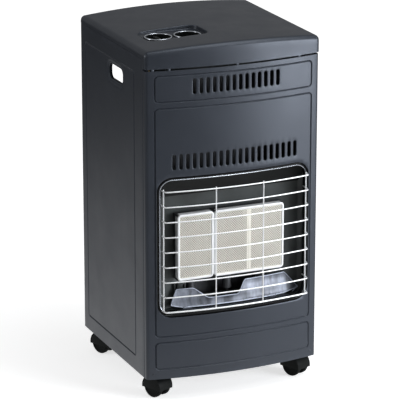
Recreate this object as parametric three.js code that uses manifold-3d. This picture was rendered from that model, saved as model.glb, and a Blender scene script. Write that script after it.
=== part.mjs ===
// A portable gas cabinet heater: a bowed steel cabinet on four twin-wheel castors, with three ceramic
// plaques behind a wire guard, the controls sunk in the lid and room for a gas bottle behind the burners.
//
// Millimetres. x runs to the right and y to the back. Heights are measured from the cabinet's lower edge,
// and the whole cabinet is lifted onto its castors at the end, so that z = 0 is the floor.

import * as THREE from "three";
import { mergeVertices } from "three/addons/utils/BufferGeometryUtils.js";
import Module from "manifold-3d";

const wasm = await Module();
wasm.setup();

// ---------------------------------------------------------------- driving dimensions

// Cabinet shell
const cabinetWidth = 400;
const sideDepth = 376; // flat side, from the front corner to the rear edge
const bowRise = 22.5; // how far the front bows out past its corners
const cornerRadius = 8;
const frontHeight = 685;
const sideRise = 22.5; // side panels above the front panel's top
const sheet = 1.5;
const clearance = 0.3; // between pieces that touch
const seamSetback = 14; // front panel's return round the corner
const seamGap = 0.6;
const flangeWidth = 12;
const bowSteps = 16;
const cornerSteps = 3;

// Base tray
const trayFloorHeight = 2;
const trayRimHeight = 32;

// Lid
const lidGap = 2; // dark line between the front panel and the lid's apron
const lidOverhang = 1.5;
const lidSheet = 2;
const lidEdgeRise = 17; // top surface at the corners above the side panels
const lidCrown = 10.9; // rise of the top surface along its centre line
const lidEdgeRadius = 11;
const lidSideGap = 1.5;
const lidSpacerWidth = 6;
const lidSpacerLeftMargins = [15, 50]; // from the cabinet's left side
const lidSpacerRightMargin = 52;

// Control recess and its two wells
const recessDepth = 7;
const recessWidth = 138;
const recessLength = 86;
const recessCornerRadius = 20;
const recessMargin = 109; // from the cabinet's left side to the recess's centre
const recessSetback = 113; // centre, behind the front corners
const wellRadius = 28.7; // hole in the recess floor
const wellDepth = 20;
const wellWall = 1.4;
const wellSides = 28;
const cupFlange = 0.6;
const bezelWidth = 3.3;
const bezelHeight = 2;
const knobMargin = 74; // from the cabinet's left side
const knobSetback = 108;
const igniterMargin = 139;
const igniterSetback = 103;

// Knob, spindle, valve
const knobRadius = 24;
const knobSkirt = 5;
const knobGripHeight = 8;
const knobGripWidth = 11;
const knobGripInset = 3; // grip's ends inside the skirt's edge
const knobEdge = 2; // slanted edge of the skirt and of the button
const knobTravel = 5;
const knobFloorGap = 0.8;
const spindleRadius = 4;
const spindleGrip = 8; // length of the spindle inside the knob
const spindleDepth = 9; // length of the spindle inside the valve
const valveWidth = 40;
const valveDepth = 44;
const valveHeight = 47;
const valveCorner = 8;
const bracketDrop = 8.1; // bracket's plate below the well floors
const bracketLength = 70;
const bracketReach = 88; // past the knob's axis, to carry the igniter
const bracketFlange = 28;
const valvePortInset = 10; // pilot and supply ports, behind the valve's front face
const probePortInset = 12; // thermocouple's port, in front of the valve's rear face
const probePortDrop = 10; // below the pilot's port
const barbRadius = 4.5;
const barbLength = 26;
const barbPitch = 6;
const barbTaper = 1; // height of a barb above the neck
const barbBore = 2; // radius
const barbCollar = 3; // collar's height above the barbs
const barbCollarLength = 5;
const barbHeight = 15; // above the valve's underside

// Igniter
const buttonRadius = 17;
const buttonHeight = 7;
const buttonTravel = 5;
const buttonFloorGap = 1;
const plungerRadius = 5;
const plungerDepth = 10; // length of the plunger inside the igniter body
const igniterRadius = 12;
const igniterLength = 38;

// Front window and its lip
const windowMargin = 26; // from the cabinet's side to the window
const windowBottom = 145;
const windowTop = 445;
const windowRadius = 30;
const lipDepth = 12;

// Louvre slots in the front panel
const slotWidth = 7.6;
const slotHeight = 34;
const slotPitch = 14.75;
const upperSlotCount = 14;
const upperSlotDrop = 38; // centre line below the front panel's top
const lowerSlotCount = 20;
const lowerSlotRise = 39.3; // centre line above the window

// Hand holes in the side panels
const handHoleLength = 78;
const handHoleHeight = 33;
const handHoleRadius = 12;
const handHoleSetback = 171;
const handHoleDrop = 67.5; // centre below the top of the side panel
const handHoleRim = 9;

// Rear of the cabinet
const coverBottom = 12;
const coverTop = 520;
const coverMargin = 8;
const coverHookWidth = 30;
const coverHookReach = 13; // length of a hook's leg behind the edge that it hangs on
const coverHookX = 110;
const coverNotchHeight = 480;
const coverNotchLength = 26;
const coverNotchWidth = 8;
const coverSlotLength = 70;
const coverSlotRows = 4;
const coverSlotPitch = 16;
const railDrop = 17.5; // top of the rail below the side panels' top
const railHeight = 35;
const railFlange = 16;

// Partition between the burners and the gas bottle
const dividerSetback = 70; // rear face, behind the front corners
const dividerGap = 3; // below the ignition lead
const dividerFlange = 15;

// Firebox
const linerGap = 2; // between the window's lip and the liner's walls
const linerSetback = 32; // front face of the rear wall, behind the front corners
const linerFold = 8; // width and depth of the slanted folds at the rear corners
const linerFoldDepth = 6;
const hoodFoot = 397; // where the slanted hood leaves the rear wall
const burnerWindowHalf = 97; // opening below the plaques for the mixing tubes
const deflectorSetback = 4.5; // foot at the centre line, behind the front corners
const deflectorGap = 1; // between the sill and the deflector's foot
const deflectorRadius = 700;
const deflectorBottom = 148;
const deflectorTop = 204;
const deflectorLeftWing = 190; // tops of the two wings
const deflectorRightWing = 195;
const deflectorNotch = 166; // floor of the notch between them
const deflectorNotchLeft = -52;
const deflectorNotchRight = 18;
const deflectorNotchSlant = 16; // width of the notch's slanted side, twice as wide on the left
const deflectorTip = 154; // height of the pointed ends
const deflectorLeftSlant = 15; // width of the wings' slanted ends
const deflectorRightSlant = 36;
const deflectorLeftCurl = 28; // length of the foot's rising ends
const deflectorRightCurl = 40;
const deflectorLeftMargin = 38;
const deflectorRightMargin = 5;
const deflectorLean = 9;
const deflectorFootX = 100;
const deflectorFootWidth = 20;

// Burners
const plaqueWidth = 79.4;
const plaqueHeight = 144;
const plaqueThickness = 12;
const plaqueSeam = 0.6;
const plaqueSetback = 8; // front faces, behind the front corners
const plaqueBottom = 214;
const burnerWall = 1.2;
const burnerGap = 3;
const burnerDepth = 43;
const burnerLip = 2; // plaques stand out of the burner boxes
const frameDepth = 3.2;
const frameLap = 0.7;
const venturiSetback = 38;
const venturiBore = 8;
const venturiWall = 1.5;
const venturiBell = 11.5;
const venturiLength = 38.2;
const venturiFlare = 12; // height of the widened mouth
const manifoldSide = 14;
const manifoldHalf = 96;
const manifoldDrop = 10; // injectors below the mixing tubes' mouths, with the bar under them
const injectorRadius = 3.5;
const injectorHeight = 7;

// Pilot, thermocouple and spark electrode, on the liner's rear wall
const pilotInset = 12; // from the burners' left edge
const pilotWidth = 12;
const pilotDepth = 6.2;
const pilotBottom = 180;
const pilotHeight = 20;
const pilotMouthWidth = 6;
const pilotMouthDepth = 6;
const pilotWall = 1.5;
const probeSetback = 28;
const probeRadius = 2.2;
const probeBottom = 182;
const probeTop = 203;
const probeFoot = 2; // probe below its lead
const electrodeInset = 23; // from the burners' left edge
const electrodeRadius = 2.6;
const electrodeBottom = 168;
const electrodeTop = 196;
const sparkTipRadius = 0.9;
const sparkTipHeight = 6;

// Tubes and leads inside the left side
const supplyRadius = 4;
const pilotTubeRadius = 2;
const leadRadius = 1.5;
const supplyRunMargin = 12; // from the cabinet's side
const probeRunMargin = 8;
const sparkRunMargin = 20;
const pilotRunSetback = 50;
const probeRunSetback = 58;
const sparkRunSetback = 44;
const sparkRunDrop = 10; // below the igniter
const pilotLineRise = 10; // above the pilot's foot
const sparkLineRise = 4; // above the electrode's foot
const bendRadius = 8;

// Wire guard
const guardProud = 20; // front wires in front of the panel's face
const guardSideProud = 7;
const guardWire = 2; // radius
const guardBottomWire = 2.4;
const guardRows = 9;
const guardBottomRise = 12.5; // lowest wire above the window's foot
const guardPitch = 33.5;
const guardSideMargin = 8; // upright side wires, from the window's edge
const guardBendMargin = 11;
const guardEndMargin = 5.5;
const guardElbow = 2.5;
const guardInnerX = 55;
const guardOverrun = 3;
const guardHookRows = [1, 7];
const guardHookBend = 5; // from the side wires back to the hook's bend
const guardHookReach = 18; // from the side wires back to the hook's end
const guardLap = 2; // end of a front wire behind the side wire
const guardInnerLap = 0.8; // inner uprights set into the front wires

// Castors
const frontCastorMargin = 34.5; // swivel axis from the cabinet's side
const rearCastorMargin = 42;
const frontCastorSetback = 57;
const rearCastorSetback = 48;
const frontCastorTurn = 204; // degrees about the swivel axis, from wheels trailing straight back
const rearCastorTurn = 24;
const wheelRadius = 24;
const wheelWidth = 13;
const wheelSides = 20;
const castorTrail = 16;
const axleRadius = 3;
const hoodWall = 2;
const hoodGap = 1;
const hoodHeadroom = 5; // from the hood's crown to the cabinet's lower edge
const hoodSides = 24;
const hoodWeb = 12;
const hoodBossRadius = 8;
const stemRadius = 4;
const stemDepth = 12; // length of the stem inside the hood
const castorPlate = 36;
const castorPlateThickness = 2;
const castorPlateCorner = 6;
const castorSwivelGap = 1;

// ---------------------------------------------------------------- derived values

const halfWidth = cabinetWidth / 2;
const frontCornerY = -sideDepth / 2;
const rearY = sideDepth / 2;
const seamY = frontCornerY + seamSetback;
const bowRadius = (halfWidth ** 2 + bowRise ** 2) / (2 * bowRise);
const bowCentreY = frontCornerY - bowRise + bowRadius;
const innerFace = sheet + clearance; // inset of a piece that lies inside the shell
const trayTop = trayFloorHeight + trayRimHeight;
const beyond = 50; // cutting bodies run past what they cut by this much
const endFlat = 0.01; // of a round end

const sideHeight = frontHeight + sideRise;
const lidSideBottom = sideHeight + lidSideGap;
const lidEdgeHeight = sideHeight + lidEdgeRise;
const lidSpacerPlaces = [
  ...lidSpacerLeftMargins.map((margin) => margin - halfWidth),
  0,
  halfWidth - lidSpacerRightMargin,
];

const recessX = recessMargin - halfWidth;
const recessY = frontCornerY + recessSetback;
const knobX = knobMargin - halfWidth;
const igniterX = igniterMargin - halfWidth;
const knobY = frontCornerY + knobSetback;
const igniterY = frontCornerY + igniterSetback;
const recessFloor = lidTop(recessX) - recessDepth;
const wellFloor = recessFloor - wellDepth;
const wellOuter = wellRadius - clearance;
const cupTop = recessFloor + clearance + cupFlange;
const knobBottom = wellFloor + knobTravel + knobFloorGap;
const bracketHeight = wellFloor - bracketDrop;
const valveTop = bracketHeight - clearance;
const valveBottom = valveTop - valveHeight;
const supplyHeight = valveBottom + barbHeight;
const valveFrontY = knobY - valveDepth / 2;
const valveRearY = knobY + valveDepth / 2;
const valveLeftX = knobX - valveWidth / 2;
const igniterTop = wellFloor - sheet - clearance;
const igniterBottom = igniterTop - igniterLength;

const windowWidth = cabinetWidth - 2 * windowMargin;
const upperSlotHeight = frontHeight - upperSlotDrop;
const lowerSlotHeight = windowTop + lowerSlotRise;
const handHoleY = frontCornerY + handHoleSetback;
const handHoleZ = sideHeight - handHoleDrop;
const coverWidth = cabinetWidth - 2 * coverMargin;
const railTop = sideHeight - railDrop;
const railBottom = railTop - railHeight;

const linerHalf = windowWidth / 2 + linerGap;
const linerRearY = frontCornerY + linerSetback;
const linerFloor = windowBottom - clearance; // top of the firebox floor
const linerRoof = windowTop + linerGap;
const hoodFrontY = bowY(windowWidth / 2) + lipDepth + linerGap;
const deflectorFrontY = frontCornerY + deflectorSetback;
const sillDepth = deflectorFrontY - deflectorGap - bowY(0);

const boxEdge = burnerWall + clearance; // from a plaque's edge to its burner box's outer face
const burnerSpan = 3 * plaqueWidth + plaqueSeam + 4 * boxEdge + burnerGap;
const leftPlaqueX = -burnerSpan / 2 + boxEdge + plaqueWidth / 2;
const centrePlaqueX = leftPlaqueX + plaqueWidth + 2 * boxEdge + burnerGap;
const rightPlaqueX = centrePlaqueX + plaqueWidth + plaqueSeam;
const plaqueFaceY = frontCornerY + plaqueSetback;
const plaqueTop = plaqueBottom + plaqueHeight;
const boxBottom = plaqueBottom - boxEdge;
const boxTop = plaqueTop + boxEdge;
const burnerFrontY = plaqueFaceY + burnerLip;
const burnerRearY = burnerFrontY + burnerDepth;
const frameFrontY = burnerFrontY - clearance - frameDepth;
const venturiY = frontCornerY + venturiSetback;
const venturiBottom = boxBottom - clearance - venturiLength;
const manifoldZ = venturiBottom - manifoldDrop - manifoldSide / 2;

const probeX = -burnerSpan / 2;
const pilotX = probeX + pilotInset;
const electrodeX = probeX + electrodeInset;
const probeY = frontCornerY + probeSetback;
const sideRunX = -halfWidth + supplyRunMargin;
const outerRunX = -halfWidth + probeRunMargin;
const innerRunX = -halfWidth + sparkRunMargin;
const pilotRunY = frontCornerY + pilotRunSetback;
const probeRunY = frontCornerY + probeRunSetback;
const sparkRunY = frontCornerY + sparkRunSetback;
const sparkRunZ = igniterBottom - sparkRunDrop;
const pilotLineHeight = pilotBottom + pilotLineRise;
const sparkLineHeight = electrodeBottom + sparkLineRise;
const dividerY = frontCornerY + dividerSetback;
const dividerHeight = sparkRunZ - leadRadius - dividerGap;

const guardBottom = windowBottom + guardBottomRise;
const guardSideX = windowWidth / 2 - guardSideMargin;
const guardBendX = windowWidth / 2 - guardBendMargin;
const guardEndX = windowWidth / 2 - guardEndMargin;

const hoodInner = wheelRadius + hoodGap;
const hoodOuter = hoodInner + hoodWall;
const castorHeight = wheelRadius + hoodOuter + hoodHeadroom; // floor to the cabinet's lower edge
const frontCastorX = halfWidth - frontCastorMargin;
const rearCastorX = halfWidth - rearCastorMargin;
const frontCastorY = frontCornerY + frontCastorSetback;
const rearCastorY = rearY - rearCastorSetback;
const axleHeight = wheelRadius - castorHeight;
const wheelInner = hoodWeb / 2 + clearance;
const castorTop = trayFloorHeight - clearance;
const guardFrontY = bowY(0) - guardProud - guardWire;
const coverRearY = rearY + clearance + sheet;
const middleY = (guardFrontY + coverRearY) / 2;

// ---------------------------------------------------------------- finishes

const finishes = {
  body: [0x454c57, 0.55, 0.2],
  wire: [0xe6e8ea, 0.2, 0.9],
  steel: [0x9aa0a8, 0.35, 0.8],
  reflector: [0xaab0c0, 0.25, 0.9],
  soot: [0x26292b, 0.7, 0.3],
  ceramic: [0xe6e0cd, 0.9, 0.0],
  brass: [0xb79a55, 0.35, 0.9],
  copper: [0xb0704a, 0.35, 0.9],
  plastic: [0x17191b, 0.5, 0.0],
  rubber: [0x1d1f20, 0.85, 0.0],
  insulator: [0xefefe9, 0.4, 0.0],
};

function material(finish) {
  const [color, roughness, metalness] = finishes[finish];
  return new THREE.MeshStandardMaterial({ color, roughness, metalness });
}

// ---------------------------------------------------------------- solids

// Turns a closed geometry into a solid that can be joined and cut.
function toSolid(geometry) {
  const bare = geometry.clone();
  bare.deleteAttribute("normal");
  bare.deleteAttribute("uv");
  const merged = mergeVertices(bare);
  const corners = merged.index.array;
  const faces = [];
  for (let i = 0; i < corners.length; i += 3) {
    const [a, b, c] = [corners[i], corners[i + 1], corners[i + 2]];
    if (a !== b && b !== c && c !== a) faces.push(a, b, c);
  }
  const places = new Float32Array(merged.attributes.position.array);
  if (signedVolume(places, faces) < 0) faces.reverse();
  return new wasm.Manifold(
    new wasm.Mesh({ numProp: 3, vertProperties: places, triVerts: new Uint32Array(faces) }),
  );
}

function signedVolume(places, faces) {
  const [a, b, c] = [new THREE.Vector3(), new THREE.Vector3(), new THREE.Vector3()];
  let volume = 0;
  for (let i = 0; i < faces.length; i += 3) {
    a.fromArray(places, 3 * faces[i]);
    b.fromArray(places, 3 * faces[i + 1]);
    c.fromArray(places, 3 * faces[i + 2]);
    volume += a.dot(b.cross(c)) / 6;
  }
  return volume;
}

function piece(name, solid, finish) {
  const { vertProperties, triVerts } = solid.getMesh();
  const geometry = new THREE.BufferGeometry();
  geometry.setAttribute("position", new THREE.Float32BufferAttribute(vertProperties, 3));
  geometry.setIndex(new THREE.Uint32BufferAttribute(triVerts, 1));
  geometry.computeVertexNormals();
  const mesh = new THREE.Mesh(geometry, material(finish));
  mesh.name = name;
  return mesh;
}

function joined(solids) {
  return solids.reduce((sum, next) => sum.add(next));
}

function cutBy(solid, cutters) {
  return cutters.reduce((rest, cutter) => rest.subtract(cutter), solid);
}

// A box between two corners.
function box([x0, y0, z0], [x1, y1, z1]) {
  const geometry = new THREE.BoxGeometry(x1 - x0, y1 - y0, z1 - z0);
  geometry.translate((x0 + x1) / 2, (y0 + y1) / 2, (z0 + z1) / 2);
  return toSolid(geometry);
}

// A box mirrored to either side of the centre plane; side is -1 or 1.
function sideBox(side, [x0, y0, z0], [x1, y1, z1]) {
  return side < 0 ? box([-x1, y0, z0], [-x0, y1, z1]) : box([x0, y0, z0], [x1, y1, z1]);
}

// An outline in plan, raised from z0 to z1.
function prism(points, z0, z1) {
  const geometry = new THREE.ExtrudeGeometry(new THREE.Shape(points), {
    depth: z1 - z0,
    bevelEnabled: false,
  });
  geometry.translate(0, 0, z0);
  return toSolid(geometry);
}

// An outline drawn in x and z, running from y0 to y1.
function frontPrism(points, y0, y1) {
  const geometry = new THREE.ExtrudeGeometry(new THREE.Shape(points), {
    depth: y1 - y0,
    bevelEnabled: false,
  });
  geometry.rotateX(Math.PI / 2);
  geometry.translate(0, y1, 0);
  return toSolid(geometry);
}

// An outline drawn in y and z, running from x0 to x1.
function sidePrism(points, x0, x1) {
  const geometry = new THREE.ExtrudeGeometry(new THREE.Shape(points), {
    depth: x1 - x0,
    bevelEnabled: false,
  });
  geometry.rotateX(Math.PI / 2);
  geometry.rotateZ(Math.PI / 2);
  geometry.translate(x0, 0, 0);
  return toSolid(geometry);
}

// A solid of revolution about an upright axis through (x, y); the profile holds radii and heights.
function turned(profile, x, y, segments = 24) {
  const points = profile.map(([radius, height]) => new THREE.Vector2(radius, height));
  const geometry = new THREE.LatheGeometry(points, segments);
  geometry.rotateX(Math.PI / 2);
  geometry.translate(x, y, 0);
  return toSolid(geometry);
}

function pillar(radius, x, y, z0, z1, segments = 24) {
  return turned([[0, z0], [radius, z0], [radius, z1], [0, z1]], x, y, segments);
}

// A round bar along x or y, centred on the other two coordinates.
function barX(radius, x0, x1, y, z, segments = 20) {
  const geometry = new THREE.CylinderGeometry(radius, radius, x1 - x0, segments);
  geometry.rotateZ(Math.PI / 2);
  geometry.translate((x0 + x1) / 2, y, z);
  return toSolid(geometry);
}

function barY(radius, y0, y1, x, z, segments = 12) {
  const geometry = new THREE.CylinderGeometry(radius, radius, y1 - y0, segments);
  geometry.translate(x, (y0 + y1) / 2, z);
  return toSolid(geometry);
}

// ---------------------------------------------------------------- outlines and paths

function arcPoints(x, y, radius, from, to, steps) {
  return Array.from({ length: steps + 1 }, (_, i) => {
    const angle = from + ((to - from) * i) / steps;
    return new THREE.Vector2(x + radius * Math.cos(angle), y + radius * Math.sin(angle));
  });
}

function roundedRectangle(width, height, radius, x = 0, y = 0, steps = 5) {
  const [w, h] = [width / 2 - radius, height / 2 - radius];
  const quarter = Math.PI / 2;
  return [
    ...arcPoints(x + w, y + h, radius, 0, quarter, steps),
    ...arcPoints(x - w, y + h, radius, quarter, 2 * quarter, steps),
    ...arcPoints(x - w, y - h, radius, 2 * quarter, 3 * quarter, steps),
    ...arcPoints(x + w, y - h, radius, 3 * quarter, 4 * quarter, steps),
  ];
}

// A rectangle with round ends, which leave a sliver of flat between them.
function capsule(width, height, x, y, steps) {
  const radius = Math.min(width, height) / 2 - endFlat;
  return roundedRectangle(width, height, radius, x, y, steps);
}

// Depth of the bowed front face at x.
function bowY(x, inset = 0) {
  return bowCentreY - Math.sqrt((bowRadius - inset) ** 2 - x ** 2);
}

// The cabinet's front in plan, from left to right, moved inwards by inset: a fillet, the bow, a fillet.
function frontLine(inset) {
  const radius = bowRadius - inset;
  const fillet = Math.max(cornerRadius - inset, sheet / 2);
  const filletX = halfWidth - inset - fillet;
  const filletY = bowCentreY - Math.sqrt((radius - fillet) ** 2 - filletX ** 2);
  const down = -Math.PI / 2;
  const spread = Math.atan2(filletX, bowCentreY - filletY);
  return [
    ...arcPoints(-filletX, filletY, fillet, -Math.PI, down - spread, cornerSteps).slice(0, -1),
    ...arcPoints(0, bowCentreY, radius, down - spread, down + spread, bowSteps),
    ...arcPoints(filletX, filletY, fillet, down + spread, 0, cornerSteps).slice(1),
  ];
}

function planOutline(inset, rearInset = inset) {
  const x = halfWidth - inset;
  const y = rearY - rearInset;
  return [...frontLine(inset), new THREE.Vector2(x, y), new THREE.Vector2(-x, y)];
}

// The shell between two insets of the cabinet's outline.
function shell(outerInset, innerInset, z0, z1, rearInset = innerInset) {
  const inside = prism(planOutline(innerInset, rearInset), z0 - beyond, z1 + beyond);
  return prism(planOutline(outerInset), z0, z1).subtract(inside);
}

// Everything in front of, or behind, a plane across the cabinet.
function frontOf(y) {
  return box([-2 * halfWidth, -sideDepth, -beyond], [2 * halfWidth, y, 2 * sideHeight]);
}

// A line through its corners, with each inner corner rounded.
function bentPath(corners, radius, steps = 3) {
  const points = corners.map((corner) => new THREE.Vector3(...corner));
  const path = [points[0]];
  for (let i = 1; i < points.length - 1; i++) {
    const before = points[i - 1].clone().sub(points[i]).setLength(radius).add(points[i]);
    const after = points[i + 1].clone().sub(points[i]).setLength(radius).add(points[i]);
    path.push(...new THREE.QuadraticBezierCurve3(before, points[i], after).getPoints(steps));
  }
  path.push(points[points.length - 1]);
  return path;
}

// A curve that steps from one listed point to the next.
class PointLine extends THREE.Curve {
  constructor(points) {
    super();
    this.points = points;
  }

  getPoint(t, target = new THREE.Vector3()) {
    const along = t * (this.points.length - 1);
    const i = Math.min(Math.floor(along + 1e-6), this.points.length - 2);
    return target.lerpVectors(this.points[i], this.points[i + 1], along - i);
  }

  getPointAt(u, target) {
    return this.getPoint(u, target);
  }

  getTangentAt(u, target = new THREE.Vector3()) {
    const i = Math.round(u * (this.points.length - 1));
    const before = this.points[Math.max(i - 1, 0)];
    const after = this.points[Math.min(i + 1, this.points.length - 1)];
    return target.subVectors(after, before).normalize();
  }
}

// A round wire or tube through the points.
function rod(points, radius, sides = 8) {
  const section = new THREE.Shape(
    arcPoints(0, 0, radius, 0, 2 * Math.PI * (1 - 1 / sides), sides - 1),
  );
  const geometry = new THREE.ExtrudeGeometry(section, {
    extrudePath: new PointLine(points),
    steps: points.length - 1,
    curveSegments: 1,
  });
  return toSolid(geometry);
}

// ---------------------------------------------------------------- cabinet

function baseTray() {
  const floor = prism(planOutline(innerFace), trayFloorHeight, trayFloorHeight + sheet);
  return floor.add(shell(innerFace, innerFace + sheet, trayFloorHeight, trayTop));
}

function windowOutline(inset) {
  const height = windowTop - windowBottom;
  const middle = (windowTop + windowBottom) / 2;
  return roundedRectangle(
    windowWidth - 2 * inset,
    height - 2 * inset,
    windowRadius - inset,
    0,
    middle,
  );
}

// The rim turned in round the window, deeper along its foot, where it makes a sill.
function windowLip() {
  const far = frontCornerY - 2 * bowRise;
  const ring = frontPrism(windowOutline(0), far, 0).subtract(
    frontPrism(windowOutline(sheet), far - beyond, beyond),
  );
  const foot = box(
    [-halfWidth, far, windowBottom - beyond],
    [halfWidth, 0, windowBottom + sheet + clearance],
  );
  const rim = ring.intersect(shell(0, lipDepth, windowBottom, windowTop));
  const sill = ring.intersect(foot).intersect(shell(0, sillDepth, windowBottom, windowTop));
  return rim.add(sill);
}

function slotRow(count, height) {
  const far = frontCornerY - 2 * bowRise;
  return Array.from({ length: count }, (_, i) => {
    const x = (i - (count - 1) / 2) * slotPitch;
    const outline = capsule(slotWidth, slotHeight, x, height, 2);
    return frontPrism(outline, far, frontCornerY + seamSetback / 2);
  });
}

function frontPanel() {
  const skin = shell(0, sheet, 0, frontHeight);
  const seamFlanges = shell(0, flangeWidth, trayTop + 1, frontHeight).intersect(
    box([-halfWidth, seamY - sheet, 0], [halfWidth, seamY, frontHeight]),
  );
  const topFlange = shell(0, flangeWidth, frontHeight - sheet, frontHeight);
  const opening = frontPrism(windowOutline(0), frontCornerY - 2 * bowRise, frontCornerY + sheet);
  const whole = joined([skin, seamFlanges, topFlange]).intersect(frontOf(seamY));
  return cutBy(whole, [
    opening,
    ...slotRow(upperSlotCount, upperSlotHeight),
    ...slotRow(lowerSlotCount, lowerSlotHeight),
  ]).add(windowLip());
}

function handHole(inset) {
  return roundedRectangle(
    handHoleLength - 2 * inset,
    handHoleHeight - 2 * inset,
    handHoleRadius - inset,
    handHoleY,
    handHoleZ,
  );
}

function sidePanel(side) {
  const front = seamY + seamGap;
  const inner = halfWidth - sheet;
  const flangeX = halfWidth - flangeWidth;
  const flangeFoot = trayTop + 1;
  const skin = sideBox(side, [inner, front, 0], [halfWidth, rearY, sideHeight]);
  const frontFlange = sideBox(
    side,
    [flangeX, front, flangeFoot],
    [halfWidth, front + sheet, sideHeight],
  );
  const rearFlange = sideBox(
    side,
    [flangeX, rearY - sheet, flangeFoot],
    [halfWidth, rearY, sideHeight],
  );
  const topFlange = sideBox(
    side,
    [flangeX, front, sideHeight - sheet],
    [halfWidth, rearY, sideHeight],
  );
  const rimEnds = [side * (halfWidth - handHoleRim), side * halfWidth].sort((a, b) => a - b);
  const cutEnds = [side * (halfWidth - flangeWidth - handHoleRim), side * (halfWidth + beyond)];
  cutEnds.sort((a, b) => a - b);
  const notch = sideBox(
    side,
    [flangeX - 1, rearY - beyond / 2, coverNotchHeight],
    [flangeX + coverNotchWidth, rearY + beyond, coverNotchHeight + coverNotchLength],
  );
  const rim = sidePrism(handHole(0), ...rimEnds);
  return joined([skin, frontFlange, rearFlange, topFlange])
    .subtract(notch)
    .add(rim)
    .subtract(sidePrism(handHole(sheet), ...cutEnds));
}

// A hook on the rear cover that drops behind an edge at the height z.
function coverHook(x0, x1, z, edgeY) {
  const face = rearY + clearance;
  const leg = edgeY - clearance;
  return box([x0, leg - sheet, z + clearance], [x1, face + sheet / 2, z + clearance + sheet]).add(
    box([x0, leg - sheet, z - coverHookReach], [x1, leg, z + clearance + sheet]),
  );
}

function rearCover() {
  const face = rearY + clearance;
  const plate = box([-coverWidth / 2, face, coverBottom], [coverWidth / 2, coverRearY, coverTop]);
  const slots = [];
  for (const side of [-1, 1]) {
    for (let row = 0; row < coverSlotRows; row++) {
      const x = side * (coverSlotLength / 2 + coverSlotPitch);
      const z = coverBottom + trayRimHeight + (row + 2) * coverSlotPitch;
      const slot = capsule(coverSlotLength, slotWidth, x, z, 2);
      slots.push(frontPrism(slot, rearY - beyond, rearY + beyond));
    }
  }
  const trayEdge = rearY - innerFace - sheet;
  const flangeX = halfWidth - flangeWidth;
  const hooks = [];
  for (const side of [-1, 1]) {
    const lower = side * coverHookX;
    hooks.push(coverHook(lower - coverHookWidth / 2, lower + coverHookWidth / 2, trayTop, trayEdge));
    const upper = [side * (flangeX + clearance), side * (flangeX + coverNotchWidth - 2)];
    upper.sort((a, b) => a - b);
    hooks.push(coverHook(...upper, coverNotchHeight, rearY - sheet));
  }
  return cutBy(joined([plate, ...hooks]), slots);
}

function rearTopRail() {
  const x = halfWidth - innerFace;
  const y = rearY - sheet - clearance;
  const web = box([-x, y - sheet, railBottom], [x, y, railTop]);
  return web.add(box([-x, y - railFlange, railTop - sheet], [x, y, railTop]));
}

function dividerPanel() {
  const x = halfWidth - innerFace;
  const bottom = trayTop + clearance;
  const web = box([-x, dividerY - sheet, bottom], [x, dividerY, dividerHeight]);
  const flanges = [-1, 1].map((side) =>
    sideBox(
      side,
      [x - sheet, dividerY - dividerFlange, bottom],
      [x, dividerY, dividerHeight],
    ),
  );
  return joined([web, ...flanges]);
}

// ---------------------------------------------------------------- lid

// Height of the lid's top surface at x.
function lidTop(x) {
  return lidEdgeHeight + lidCrown * (1 - (x / (cabinetWidth / 2)) ** 2);
}

// One closed ring round the lid: the front line and, behind each of its points, a point at the rear.
function lidRing(inset, height) {
  const front = frontLine(inset);
  const rear = front.map((point) => new THREE.Vector2(point.x, rearY - inset)).reverse();
  return [...front, ...rear].map((point) => [point.x, point.y, height(point.x)]);
}

// A body from stacked rings, closed below and above by strips between its front and rear points.
function stackedRings(rings) {
  const count = rings[0].length;
  const places = rings.flat(2);
  const faces = [];
  rings.slice(1).forEach((_, level) => {
    for (let i = 0; i < count; i++) {
      const [a, b] = [level * count + i, level * count + ((i + 1) % count)];
      faces.push(a, b, b + count, a, b + count, a + count);
    }
  });
  const last = (rings.length - 1) * count;
  for (let i = 0; i < count / 2 - 1; i++) {
    const [a, b, c, d] = [i, i + 1, count - 2 - i, count - 1 - i];
    faces.push(a, c, b, a, d, c);
    faces.push(last + a, last + b, last + c, last + a, last + c, last + d);
  }
  const geometry = new THREE.BufferGeometry();
  geometry.setAttribute("position", new THREE.Float32BufferAttribute(places, 3));
  geometry.setIndex(faces);
  return toSolid(geometry);
}

// The lid's outer form, moved inwards by depth, from the height z0 up.
function lidForm(depth, z0) {
  const inset = depth - lidOverhang;
  const radius = lidEdgeRadius - depth;
  const rounding = [0, 1 / 3, 2 / 3, 1].map((part) => {
    const angle = (part * Math.PI) / 2;
    const rise = radius * (Math.sin(angle) - 1) - depth;
    return lidRing(inset + radius * (1 - Math.cos(angle)), (x) => lidTop(x) + rise);
  });
  return stackedRings([lidRing(inset, () => z0), ...rounding]);
}

function recessOutline(outset) {
  return roundedRectangle(
    recessWidth + 2 * outset,
    recessLength + 2 * outset,
    recessCornerRadius + outset,
    recessX,
    recessY,
  );
}

function topLid() {
  const bottom = frontHeight + lidGap;
  const recessBlock = prism(recessOutline(lidSheet), recessFloor - lidSheet, 2 * lidEdgeHeight);
  const hollow = lidForm(lidSheet, bottom - beyond).subtract(recessBlock);
  const sideCut = box(
    [-2 * halfWidth, seamY + seamGap, bottom - beyond],
    [2 * halfWidth, 2 * rearY, lidSideBottom],
  );
  const wells = [[knobX, knobY], [igniterX, igniterY]].map(([x, y]) =>
    pillar(wellRadius, x, y, recessFloor - beyond, recessFloor + beyond, wellSides),
  );
  const spacers = lidSpacerPlaces.map((x) => {
    const y = bowY(x);
    return box(
      [x - lidSpacerWidth / 2, y, frontHeight + clearance],
      [x + lidSpacerWidth / 2, y + sheet, bottom + sheet],
    );
  });
  const body = cutBy(lidForm(0, bottom), [
    hollow,
    sideCut,
    prism(recessOutline(0), recessFloor, 2 * lidEdgeHeight),
    ...wells,
  ]);
  return joined([body, ...spacers]);
}

// ---------------------------------------------------------------- controls

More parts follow.
